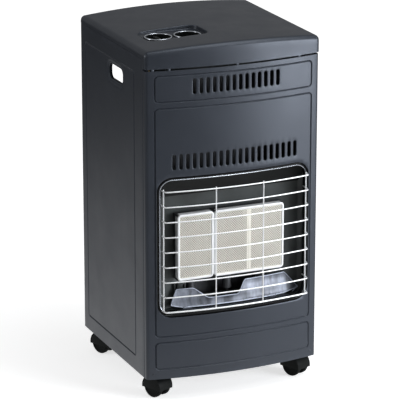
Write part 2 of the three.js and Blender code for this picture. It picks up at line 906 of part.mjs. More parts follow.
// Flat plate under the recess, with a round hole for each cup.
function controlPanel() {
  const top = recessFloor - lidSheet - clearance;
  const plate = prism(recessOutline(0), top - sheet, top);
  const holes = [[knobX, knobY], [igniterX, igniterY]].map(([x, y]) =>
    pillar(wellRadius, x, y, top - beyond, top + beyond, wellSides),
  );
  return cutBy(plate, holes);
}

// Round cup that hangs in the recess floor by its flange, with a bore in its floor.
function wellCup(x, y, bore) {
  return turned(
    [
      [bore, wellFloor - sheet],
      [wellOuter, wellFloor - sheet],
      [wellOuter, cupTop - cupFlange],
      [wellRadius + bezelWidth - clearance, cupTop - cupFlange],
      [wellRadius + bezelWidth - clearance, cupTop],
      [wellOuter - wellWall, cupTop],
      [wellOuter - wellWall, wellFloor],
      [bore, wellFloor],
      [bore, wellFloor - sheet],
    ],
    x,
    y,
    wellSides,
  );
}

function bezelRing(x, y) {
  const foot = cupTop + clearance;
  const inner = wellOuter - wellWall;
  const outer = wellRadius + bezelWidth;
  const ring = [
    [inner, foot],
    [outer, foot],
    [outer, foot + bezelHeight / 2],
    [(inner + outer) / 2, foot + bezelHeight],
    [inner, foot + bezelHeight / 2],
    [inner, foot],
  ];
  return turned(ring, x, y, wellSides);
}

function controlKnob() {
  const skirtTop = knobBottom + knobSkirt;
  const gripTop = skirtTop + knobGripHeight;
  const skirt = turned(
    [
      [0, knobBottom],
      [knobRadius, knobBottom],
      [knobRadius, skirtTop - knobEdge],
      [knobRadius - knobEdge, skirtTop],
      [0, skirtTop],
    ],
    knobX,
    knobY,
    28,
  );
  const grip = prism(
    capsule(knobGripWidth, 2 * (knobRadius - knobGripInset), knobX, knobY, 4),
    skirtTop - 1,
    gripTop,
  );
  const bore = pillar(
    spindleRadius + clearance,
    knobX,
    knobY,
    knobBottom - 1,
    knobBottom + spindleGrip + clearance,
    16,
  );
  return skirt.add(grip).subtract(bore);
}

function valveSpindle() {
  return pillar(
    spindleRadius,
    knobX,
    knobY,
    valveTop - spindleDepth,
    knobBottom + spindleGrip,
    16,
  );
}

function gasValve() {
  const outline = roundedRectangle(valveWidth, valveDepth, valveCorner, knobX, knobY, 3);
  const bore = pillar(
    spindleRadius + clearance,
    knobX,
    knobY,
    valveTop - spindleDepth - knobTravel - 1,
    valveTop + 1,
    16,
  );
  return prism(outline, valveBottom, valveTop).subtract(bore);
}

function valveBracket() {
  const left = -halfWidth + innerFace;
  const y0 = knobY - bracketLength / 2;
  const y1 = knobY + bracketLength / 2;
  const plate = box(
    [left, y0, bracketHeight],
    [knobX + bracketReach, y1, bracketHeight + sheet],
  );
  const flange = box(
    [left, y0, bracketHeight - bracketFlange],
    [left + sheet, y1, bracketHeight + sheet],
  );
  return cutBy(plate.add(flange), [
    pillar(spindleRadius + clearance, knobX, knobY, bracketHeight - beyond, bracketHeight + beyond, 16),
    pillar(igniterRadius + clearance, igniterX, igniterY, bracketHeight - beyond, bracketHeight + beyond),
  ]);
}

function inletHoseBarb() {
  const start = valveRearY + clearance;
  const end = start + barbLength;
  const neckRadius = barbRadius - barbTaper;
  const barbRun = 0.8 * barbPitch; // length of one barb
  const collar = barY(barbRadius + barbCollar, start, start + barbCollarLength, knobX, supplyHeight, 6);
  const neck = barY(neckRadius, start, end, knobX, supplyHeight);
  const barbs = [0, 1, 2].map((i) => {
    const geometry = new THREE.CylinderGeometry(neckRadius, barbRadius, barbRun, 12);
    geometry.translate(knobX, end - barbRun / 2 - barbPitch * i, supplyHeight);
    return toSolid(geometry);
  });
  const bore = barY(barbBore, start - 1, end + 1, knobX, supplyHeight);
  return joined([collar, neck, ...barbs]).subtract(bore);
}

function igniterButton() {
  const foot = wellFloor + buttonTravel + buttonFloorGap;
  const cap = turned(
    [
      [0, foot],
      [buttonRadius, foot],
      [buttonRadius, foot + buttonHeight - knobEdge],
      [buttonRadius - knobEdge, foot + buttonHeight],
      [0, foot + buttonHeight],
    ],
    igniterX,
    igniterY,
    24,
  );
  return cap.add(
    pillar(plungerRadius, igniterX, igniterY, igniterTop - plungerDepth, foot + 1, 16),
  );
}

function igniterBody() {
  const bore = plungerDepth + buttonTravel + 1;
  return pillar(igniterRadius, igniterX, igniterY, igniterBottom, igniterTop, 20).subtract(
    pillar(plungerRadius + clearance, igniterX, igniterY, igniterTop - bore, igniterTop + 1, 16),
  );
}

// ---------------------------------------------------------------- firebox

function linerPlan(outset) {
  const x = linerHalf + outset;
  const rear = linerRearY + outset;
  return [
    new THREE.Vector2(-x, frontCornerY - beyond),
    new THREE.Vector2(x, frontCornerY - beyond),
    new THREE.Vector2(x, rear - linerFoldDepth),
    new THREE.Vector2(x - linerFold, rear),
    new THREE.Vector2(-x + linerFold, rear),
    new THREE.Vector2(-x, rear - linerFoldDepth),
  ];
}

// The slanted hood, drawn in y and z: from the rear wall up and forward to the roof.
function hoodProfile(drop) {
  return [
    new THREE.Vector2(linerRearY + beyond, hoodFoot - drop),
    new THREE.Vector2(linerRearY, hoodFoot - drop),
    new THREE.Vector2(hoodFrontY, linerRoof - drop),
    new THREE.Vector2(hoodFrontY, linerRoof + beyond),
    new THREE.Vector2(linerRearY + beyond, linerRoof + beyond),
  ];
}

function fireboxLiner() {
  const walls = prism(linerPlan(sheet), linerFloor - sheet, linerRoof + sheet);
  const inside = prism(linerPlan(0), linerFloor, linerRoof).subtract(
    sidePrism(hoodProfile(0), -halfWidth, halfWidth),
  );
  const behindHood = sidePrism(hoodProfile(-sheet - 1), -halfWidth, halfWidth).intersect(
    prism(linerPlan(0), hoodFoot, linerRoof + beyond),
  );
  const burners = box(
    [-burnerSpan / 2 - clearance, linerRearY - beyond, boxBottom - clearance],
    [burnerSpan / 2 + clearance, linerRearY + beyond, boxTop + clearance],
  );
  const tubes = box(
    [-burnerWindowHalf, linerRearY - sheet, manifoldZ - manifoldSide / 2 - 2],
    [burnerWindowHalf, linerRearY + beyond, boxBottom],
  );
  const hole = (radius, x, z) =>
    barY(radius + clearance, linerRearY - sheet, linerRearY + beyond, x, z, 12);
  return cutBy(walls, [
    inside,
    behindHood,
    burners,
    tubes,
    hole(pilotTubeRadius, pilotX, pilotLineHeight),
    hole(leadRadius, probeX, probeBottom),
    hole(leadRadius, electrodeX, sparkLineHeight),
  ]).intersect(prism(planOutline(innerFace), 0, frontHeight));
}

// Depth of the deflector's face at x and z.
function deflectorY(x, z) {
  const bow = deflectorRadius - Math.sqrt(deflectorRadius ** 2 - x ** 2);
  const rise = (z - deflectorBottom) / (deflectorTop - deflectorBottom);
  return deflectorFrontY + bow + deflectorLean * rise;
}

function deflector() {
  const [left, right] = [-linerHalf + deflectorLeftMargin, linerHalf - deflectorRightMargin];
  const outline = [
    [left, deflectorTip],
    [left + deflectorLeftCurl, deflectorBottom],
    [right - deflectorRightCurl, deflectorBottom],
    [right, deflectorTip],
    [right - deflectorRightSlant, deflectorRightWing],
    [deflectorNotchRight + deflectorNotchSlant, deflectorRightWing],
    [deflectorNotchRight, deflectorNotch],
    [deflectorNotchLeft, deflectorNotch],
    [deflectorNotchLeft - 2 * deflectorNotchSlant, deflectorLeftWing],
    [left + deflectorLeftSlant, deflectorLeftWing],
  ].map(([x, z]) => new THREE.Vector2(x, z));
  const reach = linerHalf - clearance;
  const centreY = deflectorY(0, deflectorBottom) + deflectorRadius;
  const spread = Math.asin(reach / deflectorRadius);
  const down = -Math.PI / 2;
  const band = [
    ...arcPoints(0, centreY, deflectorRadius, down - spread, down + spread, 14),
    ...arcPoints(0, centreY, deflectorRadius - sheet, down + spread, down - spread, 14),
  ];
  const height = deflectorTop - linerFloor;
  const geometry = new THREE.ExtrudeGeometry(new THREE.Shape(band), {
    depth: height,
    bevelEnabled: false,
  });
  geometry.translate(0, 0, linerFloor + clearance);
  const lean = deflectorLean / (deflectorTop - deflectorBottom);
  const leaning = new THREE.Matrix4().makeShear(0, 0, 0, 0, 0, lean);
  geometry.applyMatrix4(leaning);
  geometry.translate(0, -lean * deflectorBottom, 0);
  const feet = [-1, 1].map((side) =>
    box(
      [side * deflectorFootX - deflectorFootWidth / 2, -sideDepth, linerFloor],
      [side * deflectorFootX + deflectorFootWidth / 2, 0, deflectorBottom + 1],
    ),
  );
  const face = joined([frontPrism(outline, -sideDepth, 0), ...feet]);
  return toSolid(geometry).intersect(face);
}

// ---------------------------------------------------------------- burners

function plaque(x) {
  return box(
    [x - plaqueWidth / 2, plaqueFaceY, plaqueBottom],
    [x + plaqueWidth / 2, plaqueFaceY + plaqueThickness, plaqueTop],
  );
}

// A tray behind one or more plaques, open to the front, with a hole below each for its mixing tube.
function burnerBox(places) {
  const x0 = places[0] - plaqueWidth / 2 - boxEdge;
  const x1 = places[places.length - 1] + plaqueWidth / 2 + boxEdge;
  const outside = box([x0, burnerFrontY, boxBottom], [x1, burnerRearY, boxTop]);
  const inside = box(
    [x0 + burnerWall, burnerFrontY - 1, boxBottom + burnerWall],
    [x1 - burnerWall, burnerRearY - burnerWall, boxTop - burnerWall],
  );
  const inlets = places.map((x) =>
    pillar(venturiBore, x, venturiY, boxBottom - 1, boxBottom + burnerWall + 1, 16),
  );
  return cutBy(outside, [inside, ...inlets]);
}

function burnerFrame(places) {
  const x0 = places[0] - plaqueWidth / 2;
  const x1 = places[places.length - 1] + plaqueWidth / 2;
  const rim = boxEdge + frameLap;
  const outline = roundedRectangle(
    x1 - x0 + 2 * rim,
    plaqueHeight + 2 * rim,
    rim + 1,
    (x0 + x1) / 2,
    (plaqueBottom + plaqueTop) / 2,
    3,
  );
  return frontPrism(outline, frameFrontY, frameFrontY + frameDepth).subtract(
    box(
      [x0 - clearance, frameFrontY - 1, plaqueBottom - clearance],
      [x1 + clearance, burnerFrontY + 1, plaqueTop + clearance],
    ),
  );
}

function venturi(x) {
  const top = boxBottom - clearance;
  const outer = venturiBore + venturiWall;
  return turned(
    [
      [venturiBore, top],
      [venturiBore, venturiBottom + venturiFlare],
      [venturiBell - venturiWall, venturiBottom],
      [venturiBell, venturiBottom],
      [outer, venturiBottom + venturiFlare],
      [outer, top],
      [venturiBore, top],
    ],
    x,
    venturiY,
    16,
  );
}

function gasManifold() {
  const half = manifoldSide / 2;
  const bar = box(
    [-manifoldHalf, venturiY - half, manifoldZ - half],
    [manifoldHalf, venturiY + half, manifoldZ + half],
  );
  const top = manifoldZ + half;
  const injectors = [leftPlaqueX, centrePlaqueX, rightPlaqueX].map((x) =>
    pillar(injectorRadius, x, venturiY, top - 1, top + injectorHeight, 8),
  );
  return joined([bar, ...injectors]);
}

function supplyTube() {
  const path = bentPath(
    [
      [knobX, valveFrontY - clearance, supplyHeight],
      [knobX, venturiY, supplyHeight],
      [sideRunX, venturiY, supplyHeight],
      [sideRunX, venturiY, manifoldZ],
      [-manifoldHalf - clearance, venturiY, manifoldZ],
    ],
    bendRadius,
  );
  return rod(path, supplyRadius, 8);
}

function pilotBurner() {
  const rear = linerRearY - clearance;
  const top = pilotBottom + pilotHeight;
  const block = box(
    [pilotX - pilotWidth / 2, rear - pilotDepth, pilotBottom],
    [pilotX + pilotWidth / 2, rear, top],
  );
  const mouth = box(
    [pilotX - pilotMouthWidth / 2, rear - pilotDepth + pilotWall, top - pilotMouthDepth],
    [pilotX + pilotMouthWidth / 2, rear - pilotWall, top + beyond],
  );
  return block.subtract(mouth);
}

function pilotTube() {
  const height = valveTop - valveWidth / 2;
  const path = bentPath(
    [
      [valveLeftX - clearance, valveFrontY + valvePortInset, height],
      [sideRunX, valveFrontY + valvePortInset, height],
      [sideRunX, pilotRunY, height],
      [sideRunX, pilotRunY, pilotLineHeight],
      [pilotX, pilotRunY, pilotLineHeight],
      [pilotX, linerRearY, pilotLineHeight],
    ],
    bendRadius,
  );
  return rod(path, pilotTubeRadius, 6);
}

function thermocouple() {
  const height = valveTop - valveWidth / 2 - probePortDrop;
  const path = bentPath(
    [
      [valveLeftX - clearance, valveRearY - probePortInset, height],
      [outerRunX, valveRearY - probePortInset, height],
      [outerRunX, probeRunY, height],
      [outerRunX, probeRunY, probeBottom],
      [probeX, probeRunY, probeBottom],
      [probeX, probeY, probeBottom],
    ],
    bendRadius,
  );
  return rod(path, leadRadius, 6).add(
    pillar(probeRadius, probeX, probeY, probeBottom - probeFoot, probeTop, 12),
  );
}

function sparkElectrode() {
  const insulator = pillar(
    electrodeRadius,
    electrodeX,
    probeY,
    electrodeBottom,
    electrodeTop,
    12,
  );
  const tip = pillar(
    sparkTipRadius,
    electrodeX,
    probeY,
    electrodeTop - 1,
    electrodeTop + sparkTipHeight,
    8,
  );
  return insulator.add(tip);
}

function ignitionLead() {
  const start = igniterBottom - clearance;
  const path = bentPath(
    [
      [igniterX, igniterY, start],
      [igniterX, igniterY, sparkRunZ],
      [igniterX, sparkRunY, sparkRunZ],
      [innerRunX, sparkRunY, sparkRunZ],
      [innerRunX, sparkRunY, sparkLineHeight],
      [electrodeX, sparkRunY, sparkLineHeight],
      [electrodeX, probeY + electrodeRadius + clearance, sparkLineHeight],
    ],
    bendRadius,
  );
  return rod(path, leadRadius, 6);
}

// ---------------------------------------------------------------- wire guard

// One horizontal wire: across the front in line with the bow, and bent back at both ends.
function guardRow(z, radius) {
  const line = [];
  const steps = 8;
  for (let i = 0; i <= steps; i++) {
    const x = guardBendX * ((2 * i) / steps - 1);
    line.push(new THREE.Vector3(x, bowY(x) - guardProud, z));
  }
  const endY = bowY(guardSideX) - guardSideProud + guardLap;
  const elbowY = bowY(guardBendX) - guardProud + guardElbow;
  const end = (side) => new THREE.Vector3(side * guardEndX, endY, z);
  const elbow = (side) => new THREE.Vector3(side * (guardBendX + guardElbow), elbowY, z);
  return rod([end(-1), elbow(-1), ...line, elbow(1), end(1)], radius, 6);
}

function guardHook(side, z) {
  const startY = bowY(guardSideX) - guardSideProud;
  const lipX = windowWidth / 2 - sheet - clearance - guardWire;
  const path = [
    [guardSideX, startY, z],
    [lipX, startY + guardHookBend, z],
    [lipX, startY + guardHookReach, z],
  ].map(([x, y, height]) => new THREE.Vector3(side * x, y, height));
  return rod(path, guardWire, 6);
}

function uprightWire(x, y, z0, z1) {
  return rod([new THREE.Vector3(x, y, z0), new THREE.Vector3(x, y, z1)], guardWire, 6);
}

function wireGuard() {
  const rowHeight = (row) => guardBottom + row * guardPitch;
  const top = rowHeight(guardRows - 1);
  const wires = [];
  for (let row = 0; row < guardRows; row++) {
    wires.push(guardRow(rowHeight(row), row === 0 ? guardBottomWire : guardWire));
  }
  for (const side of [-1, 1]) {
    const sideY = bowY(guardSideX) - guardSideProud;
    wires.push(uprightWire(side * guardSideX, sideY, guardBottom - guardOverrun, top + guardOverrun));
    const innerY = bowY(guardInnerX) - guardProud + 2 * guardWire - guardInnerLap;
    wires.push(uprightWire(side * guardInnerX, innerY, guardBottom, top + guardOverrun));
    for (const row of guardHookRows) wires.push(guardHook(side, rowHeight(row)));
  }
  return joined(wires);
}

// ---------------------------------------------------------------- castors

// Plate and stem, fixed under the base.
function castorMount(x, y) {
  const outline = roundedRectangle(castorPlate, castorPlate, castorPlateCorner, x, y, 3);
  const plate = prism(outline, castorTop - castorPlateThickness, castorTop);
  const plateFoot = castorTop - castorPlateThickness;
  return plate.add(
    pillar(stemRadius, x, y, plateFoot - castorSwivelGap - stemDepth, plateFoot + 1, 12),
  );
}

// The swivelling hood: a guard over both wheels, with a web between them that takes stem and axle.
function castorHood(x, y) {
  const axleY = y + castorTrail;
  const half = hoodWeb / 2 + wheelWidth + clearance + 0.5;
  const top = castorTop - castorPlateThickness - castorSwivelGap;
  const guardOver = barX(hoodOuter, x - half, x + half, axleY, axleHeight, hoodSides);
  const boss = pillar(hoodBossRadius, x, y, axleHeight, top, 16);
  const lower = box(
    [x - beyond, axleY - beyond, axleHeight - beyond],
    [x + beyond, axleY + beyond, axleHeight + 3],
  );
  const web = barX(wheelRadius - 6, x - hoodWeb / 2, x + hoodWeb / 2, axleY, axleHeight, 16);
  const wheelRooms = [-1, 1].map((side) => {
    const ends = [side * (hoodWeb / 2), side * beyond].sort((a, b) => a - b);
    return barX(hoodInner, x + ends[0], x + ends[1], axleY, axleHeight, hoodSides);
  });
  return cutBy(joined([guardOver, boss]).subtract(lower).add(web), [
    ...wheelRooms,
    pillar(stemRadius + clearance, x, y, top - stemDepth - clearance, top + 1, 12),
    barX(axleRadius + clearance, x - beyond, x + beyond, axleY, axleHeight, 12),
  ]);
}

function castorAxle(x, y) {
  const half = hoodWeb / 2 + wheelWidth;
  return barX(axleRadius, x - half, x + half, y + castorTrail, axleHeight, 12);
}

function castorWheel(x, y, side) {
  const bore = axleRadius + clearance;
  const edge = 3;
  const points = [
    [bore, 0],
    [wheelRadius - edge, 0],
    [wheelRadius, edge],
    [wheelRadius, wheelWidth - edge],
    [wheelRadius - edge, wheelWidth],
    [bore, wheelWidth],
    [bore, 0],
  ].map(([radius, height]) => new THREE.Vector2(radius, height));
  const geometry = new THREE.LatheGeometry(points, wheelSides);
  geometry.rotateZ((-side * Math.PI) / 2);
  geometry.translate(x + side * wheelInner, y + castorTrail, axleHeight);
  return toSolid(geometry);
}

// The parts that swivel are made with the wheels behind the stem and then turned about it.
function castor(name, x, y, turn) {
  const swung = (solid) =>
    solid.translate([-x, -y, 0]).rotate([0, 0, turn]).translate([x, y, 0]);
  return [
    piece(`castor_${name}_mount`, castorMount(x, y), "steel"),
    piece(`castor_${name}_hood`, swung(castorHood(x, y)), "plastic"),
    piece(`castor_${name}_axle`, swung(castorAxle(x, y)), "steel"),
    piece(`castor_${name}_left_wheel`, swung(castorWheel(x, y, -1)), "rubber"),
    piece(`castor_${name}_right_wheel`, swung(castorWheel(x, y, 1)), "rubber"),
  ];
}

// ---------------------------------------------------------------- assembly

const cabinet = [
  piece("base_tray", baseTray(), "body"),
  piece("front_panel", frontPanel(), "body"),
  piece("left_side_panel", sidePanel(-1), "body"),
  piece("right_side_panel", sidePanel(1), "body"),
  piece("rear_cover", rearCover(), "body"),
  piece("rear_top_rail", rearTopRail(), "body"),
  piece("divider_panel", dividerPanel(), "steel"),
  piece("top_lid", topLid(), "body"),
];

const controls = [
  piece("control_panel", controlPanel(), "steel"),
  piece("knob_cup", wellCup(knobX, knobY, spindleRadius + clearance), "plastic"),
  piece("igniter_cup", wellCup(igniterX, igniterY, plungerRadius + clearance), "plastic"),
  piece("knob_bezel_ring", bezelRing(knobX, knobY), "wire"),
  piece("igniter_bezel_ring", bezelRing(igniterX, igniterY), "wire"),
  piece("control_knob", controlKnob(), "plastic"),
  piece("valve_spindle", valveSpindle(), "brass"),
  piece("gas_valve", gasValve(), "brass"),
  piece("valve_bracket", valveBracket(), "steel"),
  piece("inlet_hose_barb", inletHoseBarb(), "brass"),
  piece("igniter_button", igniterButton(), "plastic"),
  piece("igniter_body", igniterBody(), "plastic"),
];

const burners = [
  piece("firebox_liner", fireboxLiner(), "soot"),
  piece("deflector", deflector(), "reflector"),
  piece("burner_box_left", burnerBox([leftPlaqueX]), "steel"),
  piece("burner_box_right", burnerBox([centrePlaqueX, rightPlaqueX]), "steel"),
  piece("burner_frame_left", burnerFrame([leftPlaqueX]), "steel"),
  piece("burner_frame_right", burnerFrame([centrePlaqueX, rightPlaqueX]), "steel"),
  piece("ceramic_plaque_left", plaque(leftPlaqueX), "ceramic"),
  piece("ceramic_plaque_centre", plaque(centrePlaqueX), "ceramic"),
  piece("ceramic_plaque_right", plaque(rightPlaqueX), "ceramic"),
  piece("venturi_left", venturi(leftPlaqueX), "steel"),
  piece("venturi_centre", venturi(centrePlaqueX), "steel"),
  piece("venturi_right", venturi(rightPlaqueX), "steel"),
  piece("gas_manifold", gasManifold(), "brass"),
  piece("supply_tube", supplyTube(), "copper"),
  piece("pilot_burner", pilotBurner(), "brass"),
  piece("pilot_tube", pilotTube(), "copper"),
  piece("thermocouple", thermocouple(), "copper"),
  piece("spark_electrode", sparkElectrode(), "insulator"),
  piece("ignition_lead", ignitionLead(), "rubber"),
  piece("wire_guard", wireGuard(), "wire"),
];

const castors = [
  ...castor("front_left", -frontCastorX, frontCastorY, frontCastorTurn),
  ...castor("front_right", frontCastorX, frontCastorY, frontCastorTurn),
  ...castor("rear_left", -rearCastorX, rearCastorY, rearCastorTurn),
  ...castor("rear_right", rearCastorX, rearCastorY, rearCastorTurn),
];

const heater = new THREE.Group();
heater.add(...cabinet, ...controls, ...burners, ...castors);
heater.position.set(0, -middleY, castorHeight);

export default heater;
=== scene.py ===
"""Looks of a portable gas cabinet heater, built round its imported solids.

Lengths in the tables and functions are millimetres in the cabinet's own frame: x to the right, y to
the back, z up from the cabinet's lower edge, with the flat sides centred on y = 0. place() turns
them into the frame of the solids, in metres.
"""

from math import asin, atan2, ceil, cos, degrees, hypot, pi, radians, sin, sqrt, tau

import bmesh
import bpy
import numpy as np
from mathutils import Matrix, Vector
from mathutils.geometry import delaunay_2d_cdt


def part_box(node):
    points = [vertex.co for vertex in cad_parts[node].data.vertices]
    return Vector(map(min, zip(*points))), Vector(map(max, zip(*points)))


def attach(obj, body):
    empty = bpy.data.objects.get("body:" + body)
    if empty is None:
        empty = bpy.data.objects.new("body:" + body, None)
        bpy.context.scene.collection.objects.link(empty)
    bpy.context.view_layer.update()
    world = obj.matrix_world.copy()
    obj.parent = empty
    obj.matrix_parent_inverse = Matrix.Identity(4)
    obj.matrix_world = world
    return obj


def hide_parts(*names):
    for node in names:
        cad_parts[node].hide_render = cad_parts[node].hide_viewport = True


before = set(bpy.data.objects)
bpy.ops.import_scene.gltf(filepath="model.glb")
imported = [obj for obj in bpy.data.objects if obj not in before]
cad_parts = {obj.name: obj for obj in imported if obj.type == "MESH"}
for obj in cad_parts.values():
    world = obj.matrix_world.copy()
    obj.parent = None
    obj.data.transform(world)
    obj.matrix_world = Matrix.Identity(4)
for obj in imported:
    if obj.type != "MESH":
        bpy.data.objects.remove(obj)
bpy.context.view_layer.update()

bl_info = {
    "name": "Gas cabinet heater",
    "version": (1, 0, 0),
    "blender": (4, 5, 0),
    "location": "View3D > Sidebar > Heater",
    "description": "Builds the finished pieces of a portable gas cabinet heater round its solids",
    "category": "Object",
}

MM = 0.001

# ---- the cabinet's sizes

HALF_WIDTH = 200.0
FRONT_CORNER_Y = -188.0
REAR_Y = 188.0
BOW_RISE = 22.5
CORNER_RADIUS = 8.0
SHEET = 1.5
FOLD = 1.6
SEAM_Y = -174.0
SEAM_GAP = 0.6
FLANGE = 12.0
FRONT_HEIGHT = 683.8
SIDE_HEIGHT = 707.5
BOW_RADIUS = (HALF_WIDTH**2 + BOW_RISE**2) / (2 * BOW_RISE)
BOW_CENTRE_Y = FRONT_CORNER_Y - BOW_RISE + BOW_RADIUS

# Windows, holes and borders are centre, width, height and corner radius. Sections of pressed edges
# run from the outside inwards, as offset and depth.
WINDOW_CHANNEL = (0.0, 295.0, 344.0, 302.0, 28.0)
WINDOW_FOOT = 145.0
WINDOW_LIP = -2.7
WINDOW_SECTION = (  # depth as a share of the channel's
    (6.0, 0.0), (5.6, 0.05), (5.2, 0.3), (4.9, 0.75), (4.5, 1.0), (1.3, 1.0), (0.9, 0.8),
    (0.6, 0.5), (0.2, 0.2), (-0.3, 0.05), (-0.8, 0.0), (-1.3, 0.05), (-1.8, 0.2), (-2.3, 0.5),
    (-2.6, 0.8),
)
LIP_DEPTH = 12.0
SILL_DEPTH = 26.0
SILL_HALF = 156
SLOT = (7.6, 34.0)
SLOT_PITCH = 14.75
SLOT_ROWS = ((14, 647.0), (20, 484.3))  # number of slots and height of their centres
FRONT_BORDERS = ((0, 643.9, 362, 56.2, 8), (0, 348.5, 362, 506, 8), (0, 52.0, 362, 60, 8))
SIDE_BORDER = (18.0, 352.5, 284, 635, 6)
HAND_HOLE = (-17.0, 640.0, 78.0, 33.0, 12.0)
HAND_HOLE_SECTION = (
    (9.5, 0), (8.2, 0.18), (6.8, 0.75), (5.2, 1.25), (3.2, 1.4), (1.6, 1.55), (0.6, 2.1),
    (0.1, 3.0), (0, 4.2), (0, 9.0),
)
COVER_HALF = 192.0
COVER_Y = 189.8
COVER_HEIGHTS = (12.0, 520.0)
COVER_BORDERS = ((0, 266, 344, 468, 10), (0, 100, 224, 84, 10))
COVER_SLOT = (70.0, 7.6)
COVER_SLOTS_X = (-51.0, 51.0)
COVER_SLOTS_Z = (76.0, 92.0, 108.0, 124.0)
COVER_HOOKS = (  # x, y and z, each from and to
    (95.0, 125.0, 183.2, 189.0, 34.3, 35.8),
    (95.0, 125.0, 183.2, 184.7, 21.0, 35.8),
    (188.3, 194.0, 184.7, 189.0, 480.3, 481.8),
    (188.3, 194.0, 184.7, 186.2, 467.0, 481.8),
)

LID_OVERHANG = 1.5
LID_EDGE_HEIGHT = 724.5
LID_CROWN = 10.9
LID_EDGE_RADIUS = 11.0
LID_REAR_RADIUS = 7.0
LID_APRON_FOOT = 688.2
LID_SIDE_FOOT = 709.0
LID_SHEET = 2.0
LID_GRID = (-186, 186, 48, -196, 174, 30)  # x from, to and count, then y
RECESS = (-91.0, -75.0, 138.0, 86.0, 20.0)
RECESS_FLOOR = 726.14
WELL_RADIUS = 28.7
KNOB = (-126.0, -80.0)
IGNITER = (-61.0, -85.0)
CUP_INNER = 27.0
CUP_OUTER = 28.4
CUP_FLOOR = 706.14
CUP_TOP = 727.04
KNOB_FOOT = 711.94
KNOB_BORE = 4.3
BUTTON_FOOT = 712.14
# Foot and height of the dark strip behind the gap under the lid's apron: painted shade that keeps
# the gap black.
SHADE_STRIP_FOOT = 664.0
SHADE_STRIP_HEIGHT = 38.0
SPACERS_X = (-185.0, -150.0, 0.0, 148.0)

DEFLECTOR_OUTLINE = (
    (-138, 154), (-110, 148), (131, 148), (171, 154), (135, 195), (34, 195), (18, 166), (-52, 166),
    (-84, 190), (-123, 190),
)
DEFLECTOR_GRID = (-136, 168, 77, 150, 193, 12)
DEFLECTOR_BEND = 700.0
DEFLECTOR_CUT = 4.5
FIREBOX_ROOF = 395.0
PLAQUES = {"left": -82.7, "centre": 2.7, "right": 82.7}
PLAQUE = (79.4, 144.0, 12.0)
PLAQUE_FACE_Y = -180.0
PLAQUE_FOOT = 214.0
BURNER_FRAME = (  # offset from the plaques' outline, y
    (1.6, -168.0), (2.2, -168.0), (2.2, -180.4), (1.9, -181.0), (1.2, -181.4), (0.3, -181.5),
    (-1.4, -181.5), (-2.3, -181.3), (-2.9, -180.8), (-3.1, -180.1), (-3.1, -179.9),
)

GUARD_FOOT = 157.5
GUARD_PROUD = 20.0
GUARD_SIDE_X = 166.0
GUARD_INNER_X = 55.0
GUARD_SIDE_Y = 7.0
GUARD_FRONT_X = 160.0
GUARD_CORNER_X = 165.8
GUARD_END_X = 168.5
GUARD_BEND = 2.4
GUARD_HOOK_X = 167.6
GUARD_HOOK_BEND = 2.0
GUARD_HOOK_REACH = 18
GUARD_HOOK_ROWS = (1, 7)

CASTOR_AXES = {  # x and y of the swivel axis, turn in degrees
    "front_left": (-165.5, -131.0, 204.0),
    "front_right": (165.5, -131.0, 204.0),
    "rear_left": (-158.0, 140.0, 24.0),
    "rear_right": (158.0, 140.0, 24.0),
}
CASTOR_TRAIL = 16.0
HOOD_RADIUS = 27.0
HOOD_HALF = 19.8
HOOD_DROP = 4.0
HOOD_INNER = 25.2
HOOD_OUTER = 26.9
WHEEL_RADIUS = 24.0
WHEEL_INNER = 6.3
WHEEL_SECTION = (  # distance from the inner face, radius
    (0.0, 3.3), (0.0, 9.0), (0.5, 9.6), (0.5, 16.0), (0.0, 16.6), (0.0, 20.6), (0.35, 22.2),
    (1.2, 23.3), (2.6, 23.9), (3.8, 24.0), (4.2, 23.75), (4.6, 24.0), (6.8, 24.0), (7.2, 23.75),
    (7.6, 24.0), (8.7, 23.9), (10.1, 23.3), (10.95, 22.2), (11.3, 20.6), (11.3, 18.4), (10.4, 17.6),
    (9.8, 12.0), (10.4, 7.4), (11.3, 6.8), (11.3, 3.3), (0.0, 3.3),
)

SCREW = (2.6, 0.9)  # radius and height of the head
REAR_SCREWS = ((194.2, (18.0, 200.0, 420.0, 560.0)), (180.0, (663.0, 682.0)))  # x, heights
FRONT_SCREWS = (186.0, 12.0)

# The stage is in metres, in the frame of the solids.
CAMERA_LENS = 236.75
CAMERA_SENSOR = 36
CAMERA_TARGET = (0.0047, 0.02135, 0.38374)
CAMERA_TURN = -23.242
CAMERA_RISE = 17.153
CAMERA_DISTANCE = 5.80626
FLOOR_HALF = 40.0
LIGHTS_TARGET = (0.0, 0.0, 0.45)
LIGHTS = {  # size, place, power, colour
    "key softbox": ((1.2, 1.4), (1.85, -2.05, 0.6), 78, (0.93, 0.96, 1.0)),
    "front fill": ((0.9, 0.6), (1.5, -2.8, 3.2), 18, (1, 1, 1)),
    "top light": ((1.8, 1.8), (0.9, -0.8, 3.2), 38, (0.93, 0.97, 1.0)),
    "side fill": ((1.2, 1.6), (-3.0, 0.4, 1.4), 26, (1, 1, 1)),
}

LOW_CORNER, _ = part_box("front_panel")
SHIFT_Y = LOW_CORNER.y / MM - (FRONT_CORNER_Y - BOW_RISE)
LIFT = LOW_CORNER.z / MM


def metres(x, y, z):
    return (x * MM, y * MM, z * MM)


def place(x, y, z):
    """A point of the cabinet's frame in the frame of the solids, in metres."""
    return metres(x, y + SHIFT_Y, z + LIFT)


# ---- settings


def length(name, value, description):
    """A length setting. The value is in millimetres."""
    return bpy.props.FloatProperty(
        name=name, description=description, default=value * MM, unit="LENGTH", precision=4
    )


def colour(name, value, description):
    return bpy.props.FloatVectorProperty(
        name=name, description=description, default=value, size=3, min=0, max=1, subtype="COLOR"
    )


